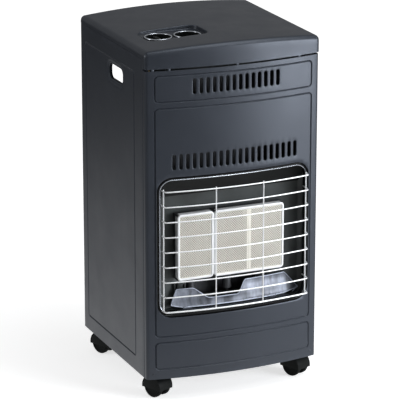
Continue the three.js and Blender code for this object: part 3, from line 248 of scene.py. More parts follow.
class HeaterSheetSizes(bpy.types.PropertyGroup):
    """Pressed details of the cabinet's sheets."""

    bead_width: length("Bead width", 4.2, "Width of the thin pressed border lines")
    bead_depth: length("Bead depth", 2.1, "Depth of the thin pressed border lines")
    window_press: length("Window channel", 4.0, "Depth of the pressed channel round the window")
    slot_edge: length("Slot edge", 1.5, "Rounding of the louvre slots' edges")
    sheet_step: length("Mesh step", 9.0, "Distance between mesh points on the sheets")


class HeaterPlaqueSizes(bpy.types.PropertyGroup):
    """Perforation of the ceramic plaques."""

    pitch: length("Hole pitch", 5.4, "Distance between holes of one row")
    hole: length("Hole diameter", 2.7, "Diameter of one hole")
    depth: length("Hole depth", 3.4, "Depth of one hole")
    margin: length("Margin", 1.6, "Plain edge of a plaque round its holes")


class HeaterGuardSizes(bpy.types.PropertyGroup):
    """Sizes of the wire guard."""

    wire: length("Wire", 2.9, "Diameter of the guard's wires")
    bottom_wire: length("Bottom wire", 3.6, "Diameter of the lowest wire")
    pitch: length("Pitch", 33.5, "Distance between the horizontal wires")
    rows: bpy.props.IntProperty(name="Rows", description="Number of horizontal wires", default=9)


class HeaterColours(bpy.types.PropertyGroup):
    """Colours of the finishes, as linear values."""

    paint: colour("Paint", (0.034, 0.040, 0.052), "Satin dark slate paint of the cabinet")
    # The trim colour is the black of the window's surround; on the lip and sill inside the window
    # it is painted shade as well.
    trim: colour("Trim", (0.004, 0.0045, 0.005), "Black enamel round the window")
    chrome: colour("Chrome", (0.88, 0.89, 0.90), "Bright wire and rings")
    steel: colour("Steel", (0.42, 0.44, 0.48), "Plain sheet steel")
    reflector: colour("Reflector", (0.24, 0.26, 0.31), "Bright reflector sheet")
    soot: colour("Firebox", (0.036, 0.040, 0.040), "Dark heat-resistant coating")
    ceramic: colour("Ceramic", (0.86, 0.825, 0.74), "Matte perforated ceramic")
    brass: colour("Brass", (0.62, 0.45, 0.17), "Turned brass")
    copper: colour("Copper", (0.62, 0.29, 0.17), "Drawn copper tube")
    plastic: colour("Plastic", (0.004, 0.005, 0.005), "Black moulded plastic")
    # The crest colour is a painted highlight on the crest of the window's channel; the knob and
    # igniter rings use it as their chrome.
    crest: colour("Crest", (0.55, 0.58, 0.63), "Polished crest of the window's channel")
    rubber: colour("Rubber", (0.004, 0.005, 0.005), "Black tread and cable sheath")


def lengths(group, *names):
    """Length settings of a group, in millimetres."""
    held = getattr(bpy.context.scene, group)
    return [getattr(held, name) / MM for name in names]


# ---- outlines


class Rounded:
    """A rectangle with round corners, whose loops have the same points at every offset."""

    def __init__(self, x, y, width, height, radius, step=7.0, corner=7):
        self.x, self.y, self.width, self.height, self.radius = x, y, width, height, radius
        self.across = max(1, ceil((width - 2 * radius) / step))
        self.up = max(1, ceil((height - 2 * radius) / step))
        self.corner = corner

    def loop(self, offset=0.0):
        radius = max(self.radius + offset, 0.15)
        w = self.width / 2 + offset - radius
        h = self.height / 2 + offset - radius
        points = []
        corners = ((w, h, self.across), (-w, h, self.up), (-w, -h, self.across), (w, -h, self.up))
        for i, (cx, cy, count) in enumerate(corners):
            for k in range(self.corner + 1):
                angle = (i + k / self.corner) * pi / 2
                points.append(
                    (self.x + cx + radius * cos(angle), self.y + cy + radius * sin(angle))
                )
            nx, ny = corners[(i + 1) % 4][:2]
            turn_x, turn_y = radius * cos((i + 1) * pi / 2), radius * sin((i + 1) * pi / 2)
            ax, ay, bx, by = cx + turn_x, cy + turn_y, nx + turn_x, ny + turn_y
            for k in range(1, count):
                t = k / count
                points.append((self.x + ax + (bx - ax) * t, self.y + ay + (by - ay) * t))
        return points

    def distance(self, points):
        """Signed distance of points from the outline, positive outside."""
        q = np.abs(points - np.array([self.x, self.y])) - np.array(
            [self.width / 2 - self.radius, self.height / 2 - self.radius]
        )
        outside = np.linalg.norm(np.maximum(q, 0), axis=1)
        return outside + np.minimum(np.max(q, axis=1), 0) - self.radius


def capsule(x, y, width, height, corner=4):
    return Rounded(x, y, width, height, min(width, height) / 2 - 0.01, step=40.0, corner=corner)


def ring(radius, x=0.0, y=0.0, segments=64):
    """Points round a circle."""
    angles = [tau * k / segments for k in range(segments)]
    return [(x + radius * cos(a), y + radius * sin(a)) for a in angles]


def bow_y(x, inset=0.0):
    return BOW_CENTRE_Y - sqrt((BOW_RADIUS - inset) ** 2 - x * x)


def arc(cx, cy, radius, start, end, steps):
    """Points of an arc, with angles in degrees."""
    angles = [radians(start + (end - start) * i / steps) for i in range(steps + 1)]
    return [(cx + radius * cos(a), cy + radius * sin(a)) for a in angles]


def eased(a, b, c, cut, steps=5):
    """The points of a rounded corner at b, on the way from a to c."""
    start, end = b + (a - b).normalized() * cut, b + (c - b).normalized() * cut
    shares = [k / steps for k in range(steps + 1)]
    return [start * (1 - t) ** 2 + b * 2 * t * (1 - t) + end * t * t for t in shares]


def grid_of(x0, x1, across, y0, y1, up):
    """Points in rows and columns."""
    ys = np.linspace(y0, y1, up)
    return np.array([(x, y) for x in np.linspace(x0, x1, across) for y in ys])


def nearest(points, line):
    """The distance of each point from the nearest point of a line."""
    return np.min(np.linalg.norm(points[:, None, :] - line[None, :, :], axis=2), axis=1)


def run_of(kind, *values):
    """The length of one piece of a line in plan."""
    if kind == "line":
        (x0, y0), (x1, y1) = values
        return hypot(x1 - x0, y1 - y0)
    if kind == "arc":
        return values[2] * radians(abs(values[4] - values[3]))
    return 2 * values[0]


def mirrored(pieces):
    """The same pieces on the other side of the cabinet, run the other way."""
    made = []
    for kind, *values in reversed(pieces):
        if kind == "line":
            (x0, y0), (x1, y1) = values
            made.append((kind, (-x1, y1), (-x0, y0)))
        else:
            x, y, radius, start, end = values
            made.append((kind, -x, y, radius, 180 - end, 180 - start))
    return made


class PlanPath:
    """A line in plan, with the outside on its right. at(s) gives a point and the way outwards."""

    def __init__(self, pieces, start):
        self.pieces, self.start = [], start
        for kind, *values in pieces:
            end = start + run_of(kind, *values)
            self.pieces.append((kind, values, start, end))
            start = end
        self.end = start

    def at(self, s):
        for kind, values, s0, s1 in self.pieces:
            if s <= s1 + 1e-9 or s1 == self.end:
                t = (s - s0) / (s1 - s0)
                if kind == "line":
                    (x0, y0), (x1, y1) = values
                    d = hypot(x1 - x0, y1 - y0)
                    return (x0 + (x1 - x0) * t, y0 + (y1 - y0) * t), ((y1 - y0) / d, (x0 - x1) / d)
                if kind == "arc":
                    cx, cy, radius, a0, a1 = values
                    a, way = radians(a0 + (a1 - a0) * t), 1 if a1 > a0 else -1
                    x, y = cos(a), sin(a)
                    return (cx + radius * x, cy + radius * y), (way * x, way * y)
                y = bow_y(s)
                return (s, y), (s / BOW_RADIUS, (y - BOW_CENTRE_Y) / BOW_RADIUS)
        raise ValueError("a point beyond the end of the path")

    def breaks(self):
        """Places along the path that the mesh needs: ends of pieces and steps round the arcs."""
        found = []
        for kind, _, s0, s1 in self.pieces:
            found += [s0, s1]
            if kind == "arc":
                found += [s0 + (s1 - s0) * k / 6 for k in range(1, 6)]
        return sorted(set(round(s, 6) for s in found))


# ---- meshes


def new_object(name, data):
    made = bpy.data.objects.new(name, data)
    bpy.context.scene.collection.objects.link(made)
    return made


def mesh_of(name, points, faces, put=place):
    mesh = bpy.data.meshes.new(name)
    mesh.from_pydata([put(*p) for p in points], [], faces)
    mesh.validate()
    return mesh


def settled(piece):
    """Turns what the modifiers make of a piece into its plain mesh."""
    graph = bpy.context.evaluated_depsgraph_get()
    mesh = bpy.data.meshes.new_from_object(piece.evaluated_get(graph), depsgraph=graph)
    piece.modifiers.clear()
    piece.data = mesh
    return piece


def modified(piece, kind, **settings):
    """Puts a piece through one modifier."""
    modifier = piece.modifiers.new(kind, kind)
    for name, value in settings.items():
        setattr(modifier, name, value)
    return settled(piece)


def rounded_edges(piece, width, segments=2):
    limit = {"limit_method": "ANGLE", "angle_limit": radians(30)}
    modified(piece, "BEVEL", width=width * MM, segments=segments, harden_normals=False, **limit)


def mark_edges(mesh):
    """Writes the attribute that says where a piece has outer edges, where paint wears first."""
    work = bmesh.new()
    work.from_mesh(mesh)
    values = np.zeros(len(work.verts), np.float32)
    for edge in work.edges:
        if edge.is_manifold and edge.calc_face_angle_signed(0) > radians(18):
            for vert in edge.verts:
                values[vert.index] = 1
    work.free()
    layer = mesh.attributes.get("edge") or mesh.attributes.new("edge", "FLOAT", "POINT")
    layer.data.foreach_set("value", values)


def finished(piece, finish, body, slot, stands_for=(), angle=32.0):
    """Gives a piece its shading, finish and body. Its slot is not used."""
    mesh = piece.data
    mesh.name = piece.name
    mesh.shade_smooth()
    mesh.set_sharp_from_angle(angle=radians(angle))
    mark_edges(mesh)
    mesh.materials.clear()
    mesh.materials.append(bpy.data.materials[finish])
    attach(piece, body)
    if stands_for:
        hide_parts(*stands_for)
    return piece


def face_spots(piece):
    """The centres of a piece's faces, as x and height."""
    centres = np.empty(3 * len(piece.data.polygons))
    piece.data.polygons.foreach_get("center", centres)
    centres = centres.reshape(-1, 3) / MM
    return np.stack([centres[:, 0], centres[:, 2] - LIFT], axis=1)


def partly(piece, finish, chosen):
    """Gives the chosen faces of a piece another finish."""
    faces = piece.data.polygons
    index = np.zeros(len(faces), np.int32)
    faces.foreach_get("material_index", index)
    index[chosen] = len(piece.data.materials)
    piece.data.materials.append(bpy.data.materials[finish])
    faces.foreach_set("material_index", index)


class Builder:
    """Collects points and faces of one mesh."""

    def __init__(self):
        self.points, self.faces = [], []

    def add(self, points, faces):
        base = len(self.points)
        self.points += points
        self.faces += [tuple(base + i for i in face) for face in faces]

    def loft(self, loops, outward=True):
        """Quads between closed loops of the same number of points."""
        base, count = len(self.points), len(loops[0])
        for loop in loops:
            self.points += loop
        for level in range(len(loops) - 1):
            a0, b0 = base + level * count, base + (level + 1) * count
            for i in range(count):
                j = (i + 1) % count
                quad = (a0 + i, a0 + j, b0 + j, b0 + i)
                self.faces.append(quad if outward else quad[::-1])

    def cap(self, loop, up=True):
        face = tuple(range(len(loop)))
        self.add(loop, [face if up else face[::-1]])

    def capped(self, loops, outward=True):
        """A loft that is closed at both ends."""
        self.loft(loops, outward)
        self.cap(loops[0], not outward)
        self.cap(loops[-1], outward)

    def turned(self, profile, x, y, foot=0.0, segments=72, ripple=None):
        """A body turned about a vertical line. The profile runs from the foot up its outside."""
        angles = [tau * k / segments for k in range(segments)]
        rings = []
        for radius, z in profile:
            radii = [radius + (ripple(a, radius) if ripple else 0) for a in angles]
            loop = [(x + r * cos(a), y + r * sin(a), foot + z) for a, r in zip(angles, radii)]
            rings.append(loop)
        self.loft(rings)

    def box(self, low, high):
        (x0, y0, z0), (x1, y1, z1) = low, high
        self.add(
            [(x, y, z) for z in (z0, z1) for x, y in ((x0, y0), (x1, y0), (x1, y1), (x0, y1))],
            [(0, 3, 2, 1), (4, 5, 6, 7), (0, 1, 5, 4), (1, 2, 6, 5), (2, 3, 7, 6), (3, 0, 4, 7)],
        )

    def object(self, name):
        """The plain piece, with points closer than 0.004 mm merged."""
        mesh = mesh_of(name, self.points, self.faces)
        work = bmesh.new()
        work.from_mesh(mesh)
        bmesh.ops.remove_doubles(work, verts=work.verts, dist=0.004 * MM)
        bmesh.ops.dissolve_degenerate(work, dist=0.001 * MM, edges=work.edges)
        work.to_mesh(mesh)
        work.free()
        return new_object(name, mesh)

    def piece(self, name, *looks, sheet=0.0, rounding=0.0, **more):
        """The finished piece, made into a sheet or with rounded edges first."""
        piece = self.object(name)
        if sheet:
            even = {"use_even_offset": True, "use_rim": True}
            modified(piece, "SOLIDIFY", thickness=sheet * MM, offset=-1.0, **even)
        if rounding:
            rounded_edges(piece, rounding)
        return finished(piece, *looks, **more)


def inside_polygon(points, polygon):
    """Which points lie inside a closed polygon."""
    x, y = points[:, 0], points[:, 1]
    inside = np.zeros(len(points), bool)
    px, py = polygon[:, 0], polygon[:, 1]
    for x0, y0, x1, y1 in zip(px, py, np.roll(px, -1), np.roll(py, -1)):
        if y0 != y1:
            crosses = (y0 > y) != (y1 > y)
            inside ^= crosses & (x < (x1 - x0) * (y - y0) / (y1 - y0) + x0)
    return inside


def region(outline, holes=(), lines=(), spots=()):
    """Triangles of a flat region: its outline, holes cut out of it, lines kept in it, free points.
    Returns the points, the triangles, and for each line and hole the numbers of its points."""
    coords, edges, numbers = [], [], []
    for loop in [outline, *holes, *lines]:
        base, count = len(coords), len(loop)
        coords += [Vector(p) for p in loop]
        edges += [(base + i, base + (i + 1) % count) for i in range(count)]
        numbers.append(range(base, base + count))
    coords += [Vector(p) for p in spots]
    places, _, faces, origins, _, _ = delaunay_2d_cdt(coords, edges, [], 0, 1e-5)
    to_new = {i: new for new, old in enumerate(origins) for i in old}
    flat = np.array([(p.x, p.y) for p in places])
    triangles = np.array(faces)
    corners = flat[triangles]
    centres = corners.mean(axis=1)
    keep = inside_polygon(centres, np.array(outline, float))
    for hole in holes:
        keep &= ~inside_polygon(centres, np.array(hole, float))
    turn = np.cross(corners[:, 1] - corners[:, 0], corners[:, 2] - corners[:, 0])
    keep &= np.abs(turn) > 1e-7
    kept = [tuple(t if way > 0 else t[::-1]) for t, way in zip(triangles[keep], turn[keep])]
    return flat, kept, [[to_new[i] for i in loop] for loop in numbers]


def bead_profile(width, depth):
    rise = ((-0.5, 0), (-0.25, 0.7), (0, 1), (0.25, 0.7), (0.5, 0))
    inner = [(share * width, part * depth) for share, part in rise]
    return [(-width / 2 - 0.8, 0), *inner, (width / 2 + 0.8, 0)]


def pressed_sheet(path, low, high, holes, beads, step):
    """A sheet that follows a path in plan, from one height to another.
    holes: an outline and its rings (offset, depth), of which the first lies in the sheet. A ring
    can have a third value, which moves its points along x and y.
    beads: an outline and its profile (offset, depth)."""
    breaks = path.breaks()
    count = max(1, round((high - low) / step))
    heights = [low + (high - low) * k / count for k in range(count + 1)]
    columns = []
    for a, b in zip(breaks[:-1], breaks[1:]):
        parts = max(1, ceil((b - a) / step))
        columns += [a + (b - a) * k / parts for k in range(parts)]
    columns.append(breaks[-1])
    outline = (
        [(s, low) for s in columns]
        + [(columns[-1], z) for z in heights[1:-1]]
        + [(s, high) for s in reversed(columns)]
        + [(columns[0], z) for z in reversed(heights[1:-1])]
    )
    grid = np.array([(s, z) for s in columns[1:-1] for z in heights[1:-1]])
    keep = np.ones(len(grid), bool)
    for shape, rings in holes:
        keep &= shape.distance(grid) > rings[0][0] + 1.2
    for shape, profile in beads:
        keep &= np.abs(shape.distance(grid)) > max(abs(profile[0][0]), abs(profile[-1][0])) + 1.2
    pressed = [(shape.loop(offset), depth) for shape, profile in beads for offset, depth in profile]
    rims = [shape.loop(rings[0][0]) for shape, rings in holes]
    flat, triangles, numbers = region(outline, rims, [line for line, _ in pressed], grid[keep])
    depth_of = np.zeros(len(flat))
    for (_, depth), loop in zip(pressed, numbers[1 + len(holes) :]):
        depth_of[loop] = depth

    def lift(s, z, depth, push=None):
        (x, y), (nx, ny) = path.at(min(max(s, path.start), path.end))
        dx, dy = push(s, z) if push else (0, 0)
        return (x - depth * nx + dx, y - depth * ny + dy, z)

    builder = Builder()
    builder.add([lift(s, z, d) for (s, z), d in zip(flat, depth_of)], triangles)
    for shape, rings in holes:
        builder.loft([[lift(*p, *values) for p in shape.loop(o)] for o, *values in rings])
    return builder


def softened(node, width, finish, body, slot, segments=2, angle=32.0):
    """Puts a finished copy with rounded edges in the place of a solid."""
    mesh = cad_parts[node].data.copy()
    work = bmesh.new()
    work.from_mesh(mesh)
    bmesh.ops.remove_doubles(work, verts=work.verts, dist=0.002 * MM)
    flat = {"angle_limit": radians(0.6), "use_dissolve_boundaries": False}
    bmesh.ops.dissolve_limit(work, verts=work.verts, edges=work.edges, **flat)
    work.to_mesh(mesh)
    work.free()
    piece = new_object(node + "_finished", mesh)
    if width:
        rounded_edges(piece, width, segments)
    return finished(piece, finish, body, slot, [node], angle)


# ---- node trees


def fed(tree, node, feeds):
    """Gives inputs of a node their links and values."""
    for label, value in feeds.items():
        if isinstance(value, bpy.types.NodeSocket):
            tree.links.new(value, node.inputs[label])
        else:
            node.inputs[label].default_value = value
    return node


def wired(tree, kind, feeds, out=0, **settings):
    """One output of a new node with its settings and inputs."""
    node = tree.nodes.new(kind)
    for name, value in settings.items():
        setattr(node, name, value)
    return fed(tree, node, feeds).outputs[out]


def new_tree(kind, name, output, **inputs):
    """A node tree with one output. An input is given as its kind or its value.
    Returns the tree, the sockets of its inputs by name, and the socket of its output."""
    tree = bpy.data.node_groups.new(name, kind + "NodeTree")
    first, result = ("Geometry", "Geometry") if kind == "Geometry" else ("Vector", "Float")
    for label, value in {first: first, **inputs}.items():
        plain = "Float" if isinstance(value, float) else "Vector"
        shape = "NodeSocket" + (value if isinstance(value, str) else plain)
        socket = tree.interface.new_socket(label, in_out="INPUT", socket_type=shape)
        if not isinstance(value, str):
            socket.default_value = value
    tree.interface.new_socket(output, in_out="OUTPUT", socket_type="NodeSocket" + result)
    given, made = tree.nodes.new("NodeGroupInput"), tree.nodes.new("NodeGroupOutput")
    return tree, given.outputs, made.inputs[0]


def reckoned(tree, operation, a, b, clamp=False):
    return wired(tree, "ShaderNodeMath", {0: a, 1: b}, operation=operation, use_clamp=clamp)


def times(tree, a, b, clamp=False):
    return reckoned(tree, "MULTIPLY", a, b, clamp)


def copies(tree, points, shape, **more):
    """Copies of an object on points, made real."""
    shape = wired(tree, "GeometryNodeObjectInfo", {"Object": shape}, "Geometry")
    feeds = {"Points": points, "Instance": shape, **more}
    placed = wired(tree, "GeometryNodeInstanceOnPoints", feeds)
    return wired(tree, "GeometryNodeRealizeInstances", {0: placed})


def dressed(tree, geometry, given, made):
    """Ends a geometry tree: what it made gets the material."""
    feeds = {"Geometry": geometry, "Material": given["Material"]}
    tree.links.new(wired(tree, "GeometryNodeSetMaterial", feeds), made)
    return tree


def grown(name, tree, mesh=None, **values):
    """An object whose mesh comes from a geometry node tree with these input values."""
    piece = new_object(name, mesh or bpy.data.meshes.new(name))
    modifier = piece.modifiers.new("Pattern", "NODES")
    modifier.node_group = tree
    for item in tree.interface.items_tree:
        if item.in_out == "INPUT" and item.name in values:
            modifier[item.identifier] = values[item.name]
    return settled(piece)


def perforation_tree():
    """Tiles with one hole each, in staggered rows over a plaque."""
    kinds = {"Tile": "Object", "Columns": "Int", "Rows": "Int", "Pitch": "Float"}
    kinds |= {"Corner": "Vector", "Material": "Material"}
    tree, given, made = new_tree("Geometry", "perforation", "Geometry", **kinds)
    grids = tree.nodes.new("GeometryNodeJoinGeometry")
    for odd in (0, 1):
        feeds = {}
        for axis, label in (("X", "Columns"), ("Y", "Rows")):
            number = reckoned(tree, "SUBTRACT", given[label], odd)
            feeds["Vertices " + axis] = number
            gaps = reckoned(tree, "SUBTRACT", number, 1)
            feeds["Size " + axis] = times(tree, gaps, given["Pitch"])
        tree.links.new(wired(tree, "GeometryNodeMeshGrid", feeds), grids.inputs[0])
    feeds = {"Geometry": grids.outputs[0], "Translation": given["Corner"]}
    upright = wired(tree, "GeometryNodeTransform", {**feeds, "Rotation": (pi / 2, 0, 0)})
    tiles = copies(tree, upright, given["Tile"])
    feeds = {"Geometry": tiles, "Distance": 0.01 * MM}
    merged = wired(tree, "GeometryNodeMergeByDistance", feeds)
    return dressed(tree, merged, given, made)


def wire_tree():
    """Round wires along curves, repeated upwards."""
    kinds = {"Path": "Object", "Rows": "Int", "Pitch": "Float", "Radius": "Float"}
    tree, given, made = new_tree("Geometry", "wires", "Geometry", **kinds, Material="Material")
    rise = wired(tree, "ShaderNodeCombineXYZ", {"Z": given["Pitch"]})
    feeds = {"Count": given["Rows"], "Offset": rise}
    line = wired(tree, "GeometryNodeMeshLine", feeds, mode="OFFSET")
    paths = copies(tree, line, given["Path"])
    feeds = {"Resolution": 12, "Radius": given["Radius"]}
    section = wired(tree, "GeometryNodeCurvePrimitiveCircle", feeds, "Curve")
    feeds = {"Curve": paths, "Profile Curve": section, "Fill Caps": True}
    return dressed(tree, wired(tree, "GeometryNodeCurveToMesh", feeds), given, made)


def fastener_tree():
    """Copies of a fastener on the points of a mesh, each turned to face along its own direction."""
    kinds = {"Fastener": "Object", "Material": "Material"}
    tree, given, made = new_tree("Geometry", "fasteners", "Geometry", **kinds)
    named = "GeometryNodeInputNamedAttribute"
    facing = wired(tree, named, {"Name": "facing"}, "Attribute", data_type="FLOAT_VECTOR")
    turn = wired(tree, "FunctionNodeAlignRotationToVector", {"Vector": facing}, axis="Z")
    heads = copies(tree, given["Geometry"], given["Fastener"], Rotation=turn)
    return dressed(tree, heads, given, made)


# ---- finishes


def noise(tree, vector, scale, detail, roughness=0.5):
    feeds = {"Vector": vector, "Scale": scale, "Detail": detail, "Roughness": roughness}
    return wired(tree, "ShaderNodeTexNoise", feeds, "Fac")


def spread(tree, value, low, high, to_low, to_high):
    feeds = {"From Min": low, "From Max": high, "To Min": to_low, "To Max": to_high}
    return wired(tree, "ShaderNodeMapRange", {"Value": value, **feeds}, "Result")


def build_groups():
    """The effects that several finishes share."""
    tree, given, made = new_tree("Shader", "grain", "Height", Scale=900.0, Amount=1.0)
    fine = noise(tree, given["Vector"], given["Scale"], 2.0, 0.55)
    coarse = noise(tree, given["Vector"], times(tree, given["Scale"], 0.21), 2.0)
    both = reckoned(tree, "ADD", times(tree, fine, 0.65), times(tree, coarse, 0.35))
    tree.links.new(times(tree, both, given["Amount"]), made)

    tree, given, made = new_tree("Shader", "blotches", "Value", Scale=9.0, Low=0.0, High=1.0)
    cloud = noise(tree, given["Vector"], given["Scale"], 5.0, 0.6)
    tree.links.new(spread(tree, cloud, 0.3, 0.7, given["Low"], given["High"]), made)

    tree, given, made = new_tree("Shader", "edge wear", "Mask", Edge=0.0, Amount=0.5)
    patches = spread(tree, noise(tree, given["Vector"], 60.0, 6.0, 0.7), 0.46, 0.66, 0.0, 1.0)
    worn = times(tree, given["Edge"], patches)
    tree.links.new(times(tree, worn, given["Amount"], True), made)

    tree, given, made = new_tree("Shader", "low dust", "Mask", Top=0.2, Amount=0.3)
    height = wired(tree, "ShaderNodeSeparateXYZ", {0: given["Vector"]}, "Z")
    low = spread(tree, height, 0.0, given["Top"], 1.0, 0.0)
    dust = times(tree, low, noise(tree, given["Vector"], 24.0, 6.0, 0.65))
    tree.links.new(times(tree, dust, given["Amount"], True), made)

    stretch = (40.0, 1500.0, 1500.0)
    tree, given, made = new_tree("Shader", "rolling lines", "Value", Stretch=stretch)
    feeds = {0: given["Vector"], 1: given["Stretch"]}
    scaled = wired(tree, "ShaderNodeVectorMath", feeds, operation="MULTIPLY")
    tree.links.new(noise(tree, scaled, 1.0, 3.0, 0.6), made)


def shade(value, factor):
    return tuple(min(1.0, c * factor) for c in value)


class Finish:
    """A material whose nodes hang on one Principled shader."""

    def __init__(self, name, base, metallic, specular=0.5):
        material = bpy.data.materials.new(name)
        material.use_nodes = True
        material.diffuse_color = (*base, 1)
        self.base, self.tone, self.tree = base, base, material.node_tree
        self.vector = wired(self.tree, "ShaderNodeTexCoord", {}, "Object")
        self.feed("Base Color", (*base, 1))
        self.feed("Metallic", metallic)
        self.feed("Specular IOR Level", specular)

    def feed(self, label, value):
        fed(self.tree, self.tree.nodes["Principled BSDF"], {label: value})

    def use(self, group, **feeds):
        group = bpy.data.node_groups[group]
        feeds["Vector"] = self.vector
        return wired(self.tree, "ShaderNodeGroup", feeds, node_tree=group)

    def mix(self, factor, a, b):
        feeds = {"Factor": factor}
        for label, value in (("A", a), ("B", b)):
            feeds[label] = (*value, 1) if isinstance(value, tuple) else value
        return wired(self.tree, "ShaderNodeMix", feeds, "Result", data_type="RGBA")

    def shades(self, factor, low, high):
        return self.mix(factor, shade(self.base, low), shade(self.base, high))

    def colour(self, tone):
        self.tone = tone
        self.feed("Base Color", tone)

    def bump(self, height, distance, strength):
        feeds = {"Height": height, "Distance": distance, "Strength": strength}
        self.feed("Normal", wired(self.tree, "ShaderNodeBump", feeds))

    def attribute(self, name):
        return wired(self.tree, "ShaderNodeAttribute", {}, "Fac", attribute_name=name)


def build_finishes():
    build_groups()
    held = bpy.context.scene.heater_colours
    base = {name: tuple(getattr(held, name)) for name in HeaterColours.__annotations__}
    coating, cream, mark = base["soot"], base["ceramic"], (0.75, 0.75, 0.74)
    # roof is the coating darkened to paint shade on the top of the firebox
    inner, stained, roof_shade = shade(base["steel"], 0.12), shade(coating, 0.8), shade(coating, 0.14)
    # edge is the reflector colour lightened for a painted highlight on the deflector's rim
    rim, edge = shade(base["chrome"], 1.03), shade(base["reflector"], 2.4)
    # name, colour, metallic, specular, shades (scale of their blotches, darkest, lightest),
    # roughness (scale of its blotches, least, most), grain (scale, distance, strength)
    table = (
        ("paint", base["paint"], 0.45, 0.5, (5, 0.95, 1.05), (14, 0.36, 0.43), (1500, 5e-5, 0.4)),
        # black surround of the window, and painted shade on its lip and sill
        ("black enamel", base["trim"], 0, 0.15, (8, 0.8, 1.3), (12, 0.12, 0.22), (900, 4e-5, 0.3)),
        ("chrome wire", base["chrome"], 0.6, 0.5, (30, 0.96, 1), (40, 0.28, 0.34), None),
        ("sheet steel", base["steel"], 0.9, 0.5, None, (18, 0.34, 0.5), None),
        ("inner sheet", inner, 0.5, 0.5, (12, 0.7, 1.3), (18, 0.45, 0.6), None),
        ("stained metal", stained, 0.6, 0.5, (50, 0.6, 1.5), (40, 0.45, 0.62), None),
        # painted highlight on the window's crest, and the chrome of the knob and igniter rings
        ("polished crest", base["crest"], 0.85, 0.5, (8, 0.9, 1), (12, 0.2, 0.28), None),
        ("reflector sheet", base["reflector"], 0.35, 0.5, None, (20, 0.38, 0.5), None),
        ("bright frame", rim, 0.3, 0.5, (40, 0.92, 1), (40, 0.3, 0.42), None),
        # painted highlight on the deflector's rim
        ("reflector edge", edge, 0.4, 0.5, (30, 0.8, 1), (30, 0.3, 0.42), None),
        ("firebox coating", coating, 0.35, 0.5, (7, 0.7, 1.9), (11, 0.32, 0.6), (700, 1e-4, 0.5)),
        # painted shade on the liner's roof
        ("firebox roof", roof_shade, 0, 0.2, (7, 0.6, 1.6), (11, 0.4, 0.6), None),
        ("matte ceramic", cream, 0, 0.5, (16, 0.93, 1.05), (30, 0.82, 0.95), (2600, 8e-5, 0.6)),
        ("turned brass", base["brass"], 1, 0.5, (35, 0.65, 1.08), (50, 0.26, 0.42), None),
        ("drawn copper", base["copper"], 1, 0.5, (35, 0.65, 1.08), (50, 0.25, 0.45), None),
        ("black plastic", base["plastic"], 0, 0.1, None, (26, 0.5, 0.62), (1900, 1e-4, 0.6)),
        ("tread rubber", base["rubber"], 0, 0.06, None, (30, 0.5, 0.7), (1400, 1.5e-4, 0.6)),
        ("white mark", mark, 0, 0.5, (90, 0.85, 1), (60, 0.4, 0.55), None),
    )
    made = {}
    for name, tone, metallic, specular, shades, rough, grain in table:
        finish = made[name] = Finish(name, tone, metallic, specular)
        if shades:
            finish.colour(finish.shades(finish.use("blotches", Scale=shades[0]), *shades[1:]))
        scale, low, high = rough
        finish.feed("Roughness", finish.use("blotches", Scale=scale, Low=low, High=high))
        if grain:
            finish.bump(finish.use("grain", Scale=grain[0]), *grain[1:])

    # name, top and amount of the dust, its colour, amount of wear, factor of the worn colour
    for name, top, amount, dust, wear, worn in (
        ("paint", 0.16, 0.12, (0.15, 0.15, 0.145), 0.35, 2.2),
        ("black plastic", 0.06, 0.03, (0.12, 0.115, 0.105), 0.3, 3.5),
        ("tread rubber", 0.05, 0.05, (0.13, 0.125, 0.115), None, None),
    ):
        finish = made[name]
        finish.colour(finish.mix(finish.use("low dust", Top=top, Amount=amount), finish.tone, dust))
        if wear:
            mask = finish.use("edge wear", Edge=finish.attribute("edge"), Amount=wear)
            finish.colour(finish.mix(mask, finish.tone, shade(finish.base, worn)))

    steel = made["sheet steel"]
    lines = steel.use("rolling lines", Stretch=(35.0, 900.0, 900.0))
    patches = steel.use("blotches", Scale=22.0, Low=0.0, High=0.35)
    steel.colour(steel.mix(patches, steel.shades(lines, 0.86, 1.1), shade(steel.base, 0.55)))
    steel.bump(lines, 0.00003, 0.4)
    for name in ("turned brass", "drawn copper"):
        lines = made[name].use("rolling lines", Stretch=(300.0, 300.0, 1600.0))
        made[name].bump(lines, 0.00003, 0.4)

    # Painted reflections: stretched streaks darken and lighten the sheet where the wires and
    # plaques would be seen in it. The lower strip is darker than the wings.
    bright = made["reflector sheet"]
    clouds = bright.use("rolling lines", Stretch=(45.0, 30.0, 14.0))
    painted_reflection_streaks = spread(bright.tree, clouds, 0.36, 0.64, 0.0, 1.0)
    height = wired(bright.tree, "ShaderNodeSeparateXYZ", {0: bright.vector}, "Z")
    rising = spread(bright.tree, height, (LIFT + 162) * MM, (LIFT + 178) * MM, 0.0, 1.0)
    foot, top = bright.shades(painted_reflection_streaks, 0.3, 1.0), bright.shades(painted_reflection_streaks, 0.6, 1.5)
    bright.colour(bright.mix(rising, foot, top))
    bright.bump(bright.use("blotches", Scale=30.0), 0.0008, 0.35)

    matte = made["matte ceramic"]
    # Painted shade in the holes: the deeper a point lies in a hole, by the sunk attribute, the
    # darker the ceramic, down to a tenth at the floor.
    matte.colour(matte.mix(matte.attribute("sunk"), matte.tone, shade(matte.base, 0.1)))


# ---- cabinet


def fillet_at(inset, fillet):
    """Where the rounded corner between bow and side has its middle, and the bow's half angle."""
    x = HALF_WIDTH - inset - fillet
    y = BOW_CENTRE_Y - sqrt((BOW_RADIUS - inset - fillet) ** 2 - x**2)
    return x, y, degrees(atan2(x, BOW_CENTRE_Y - y))


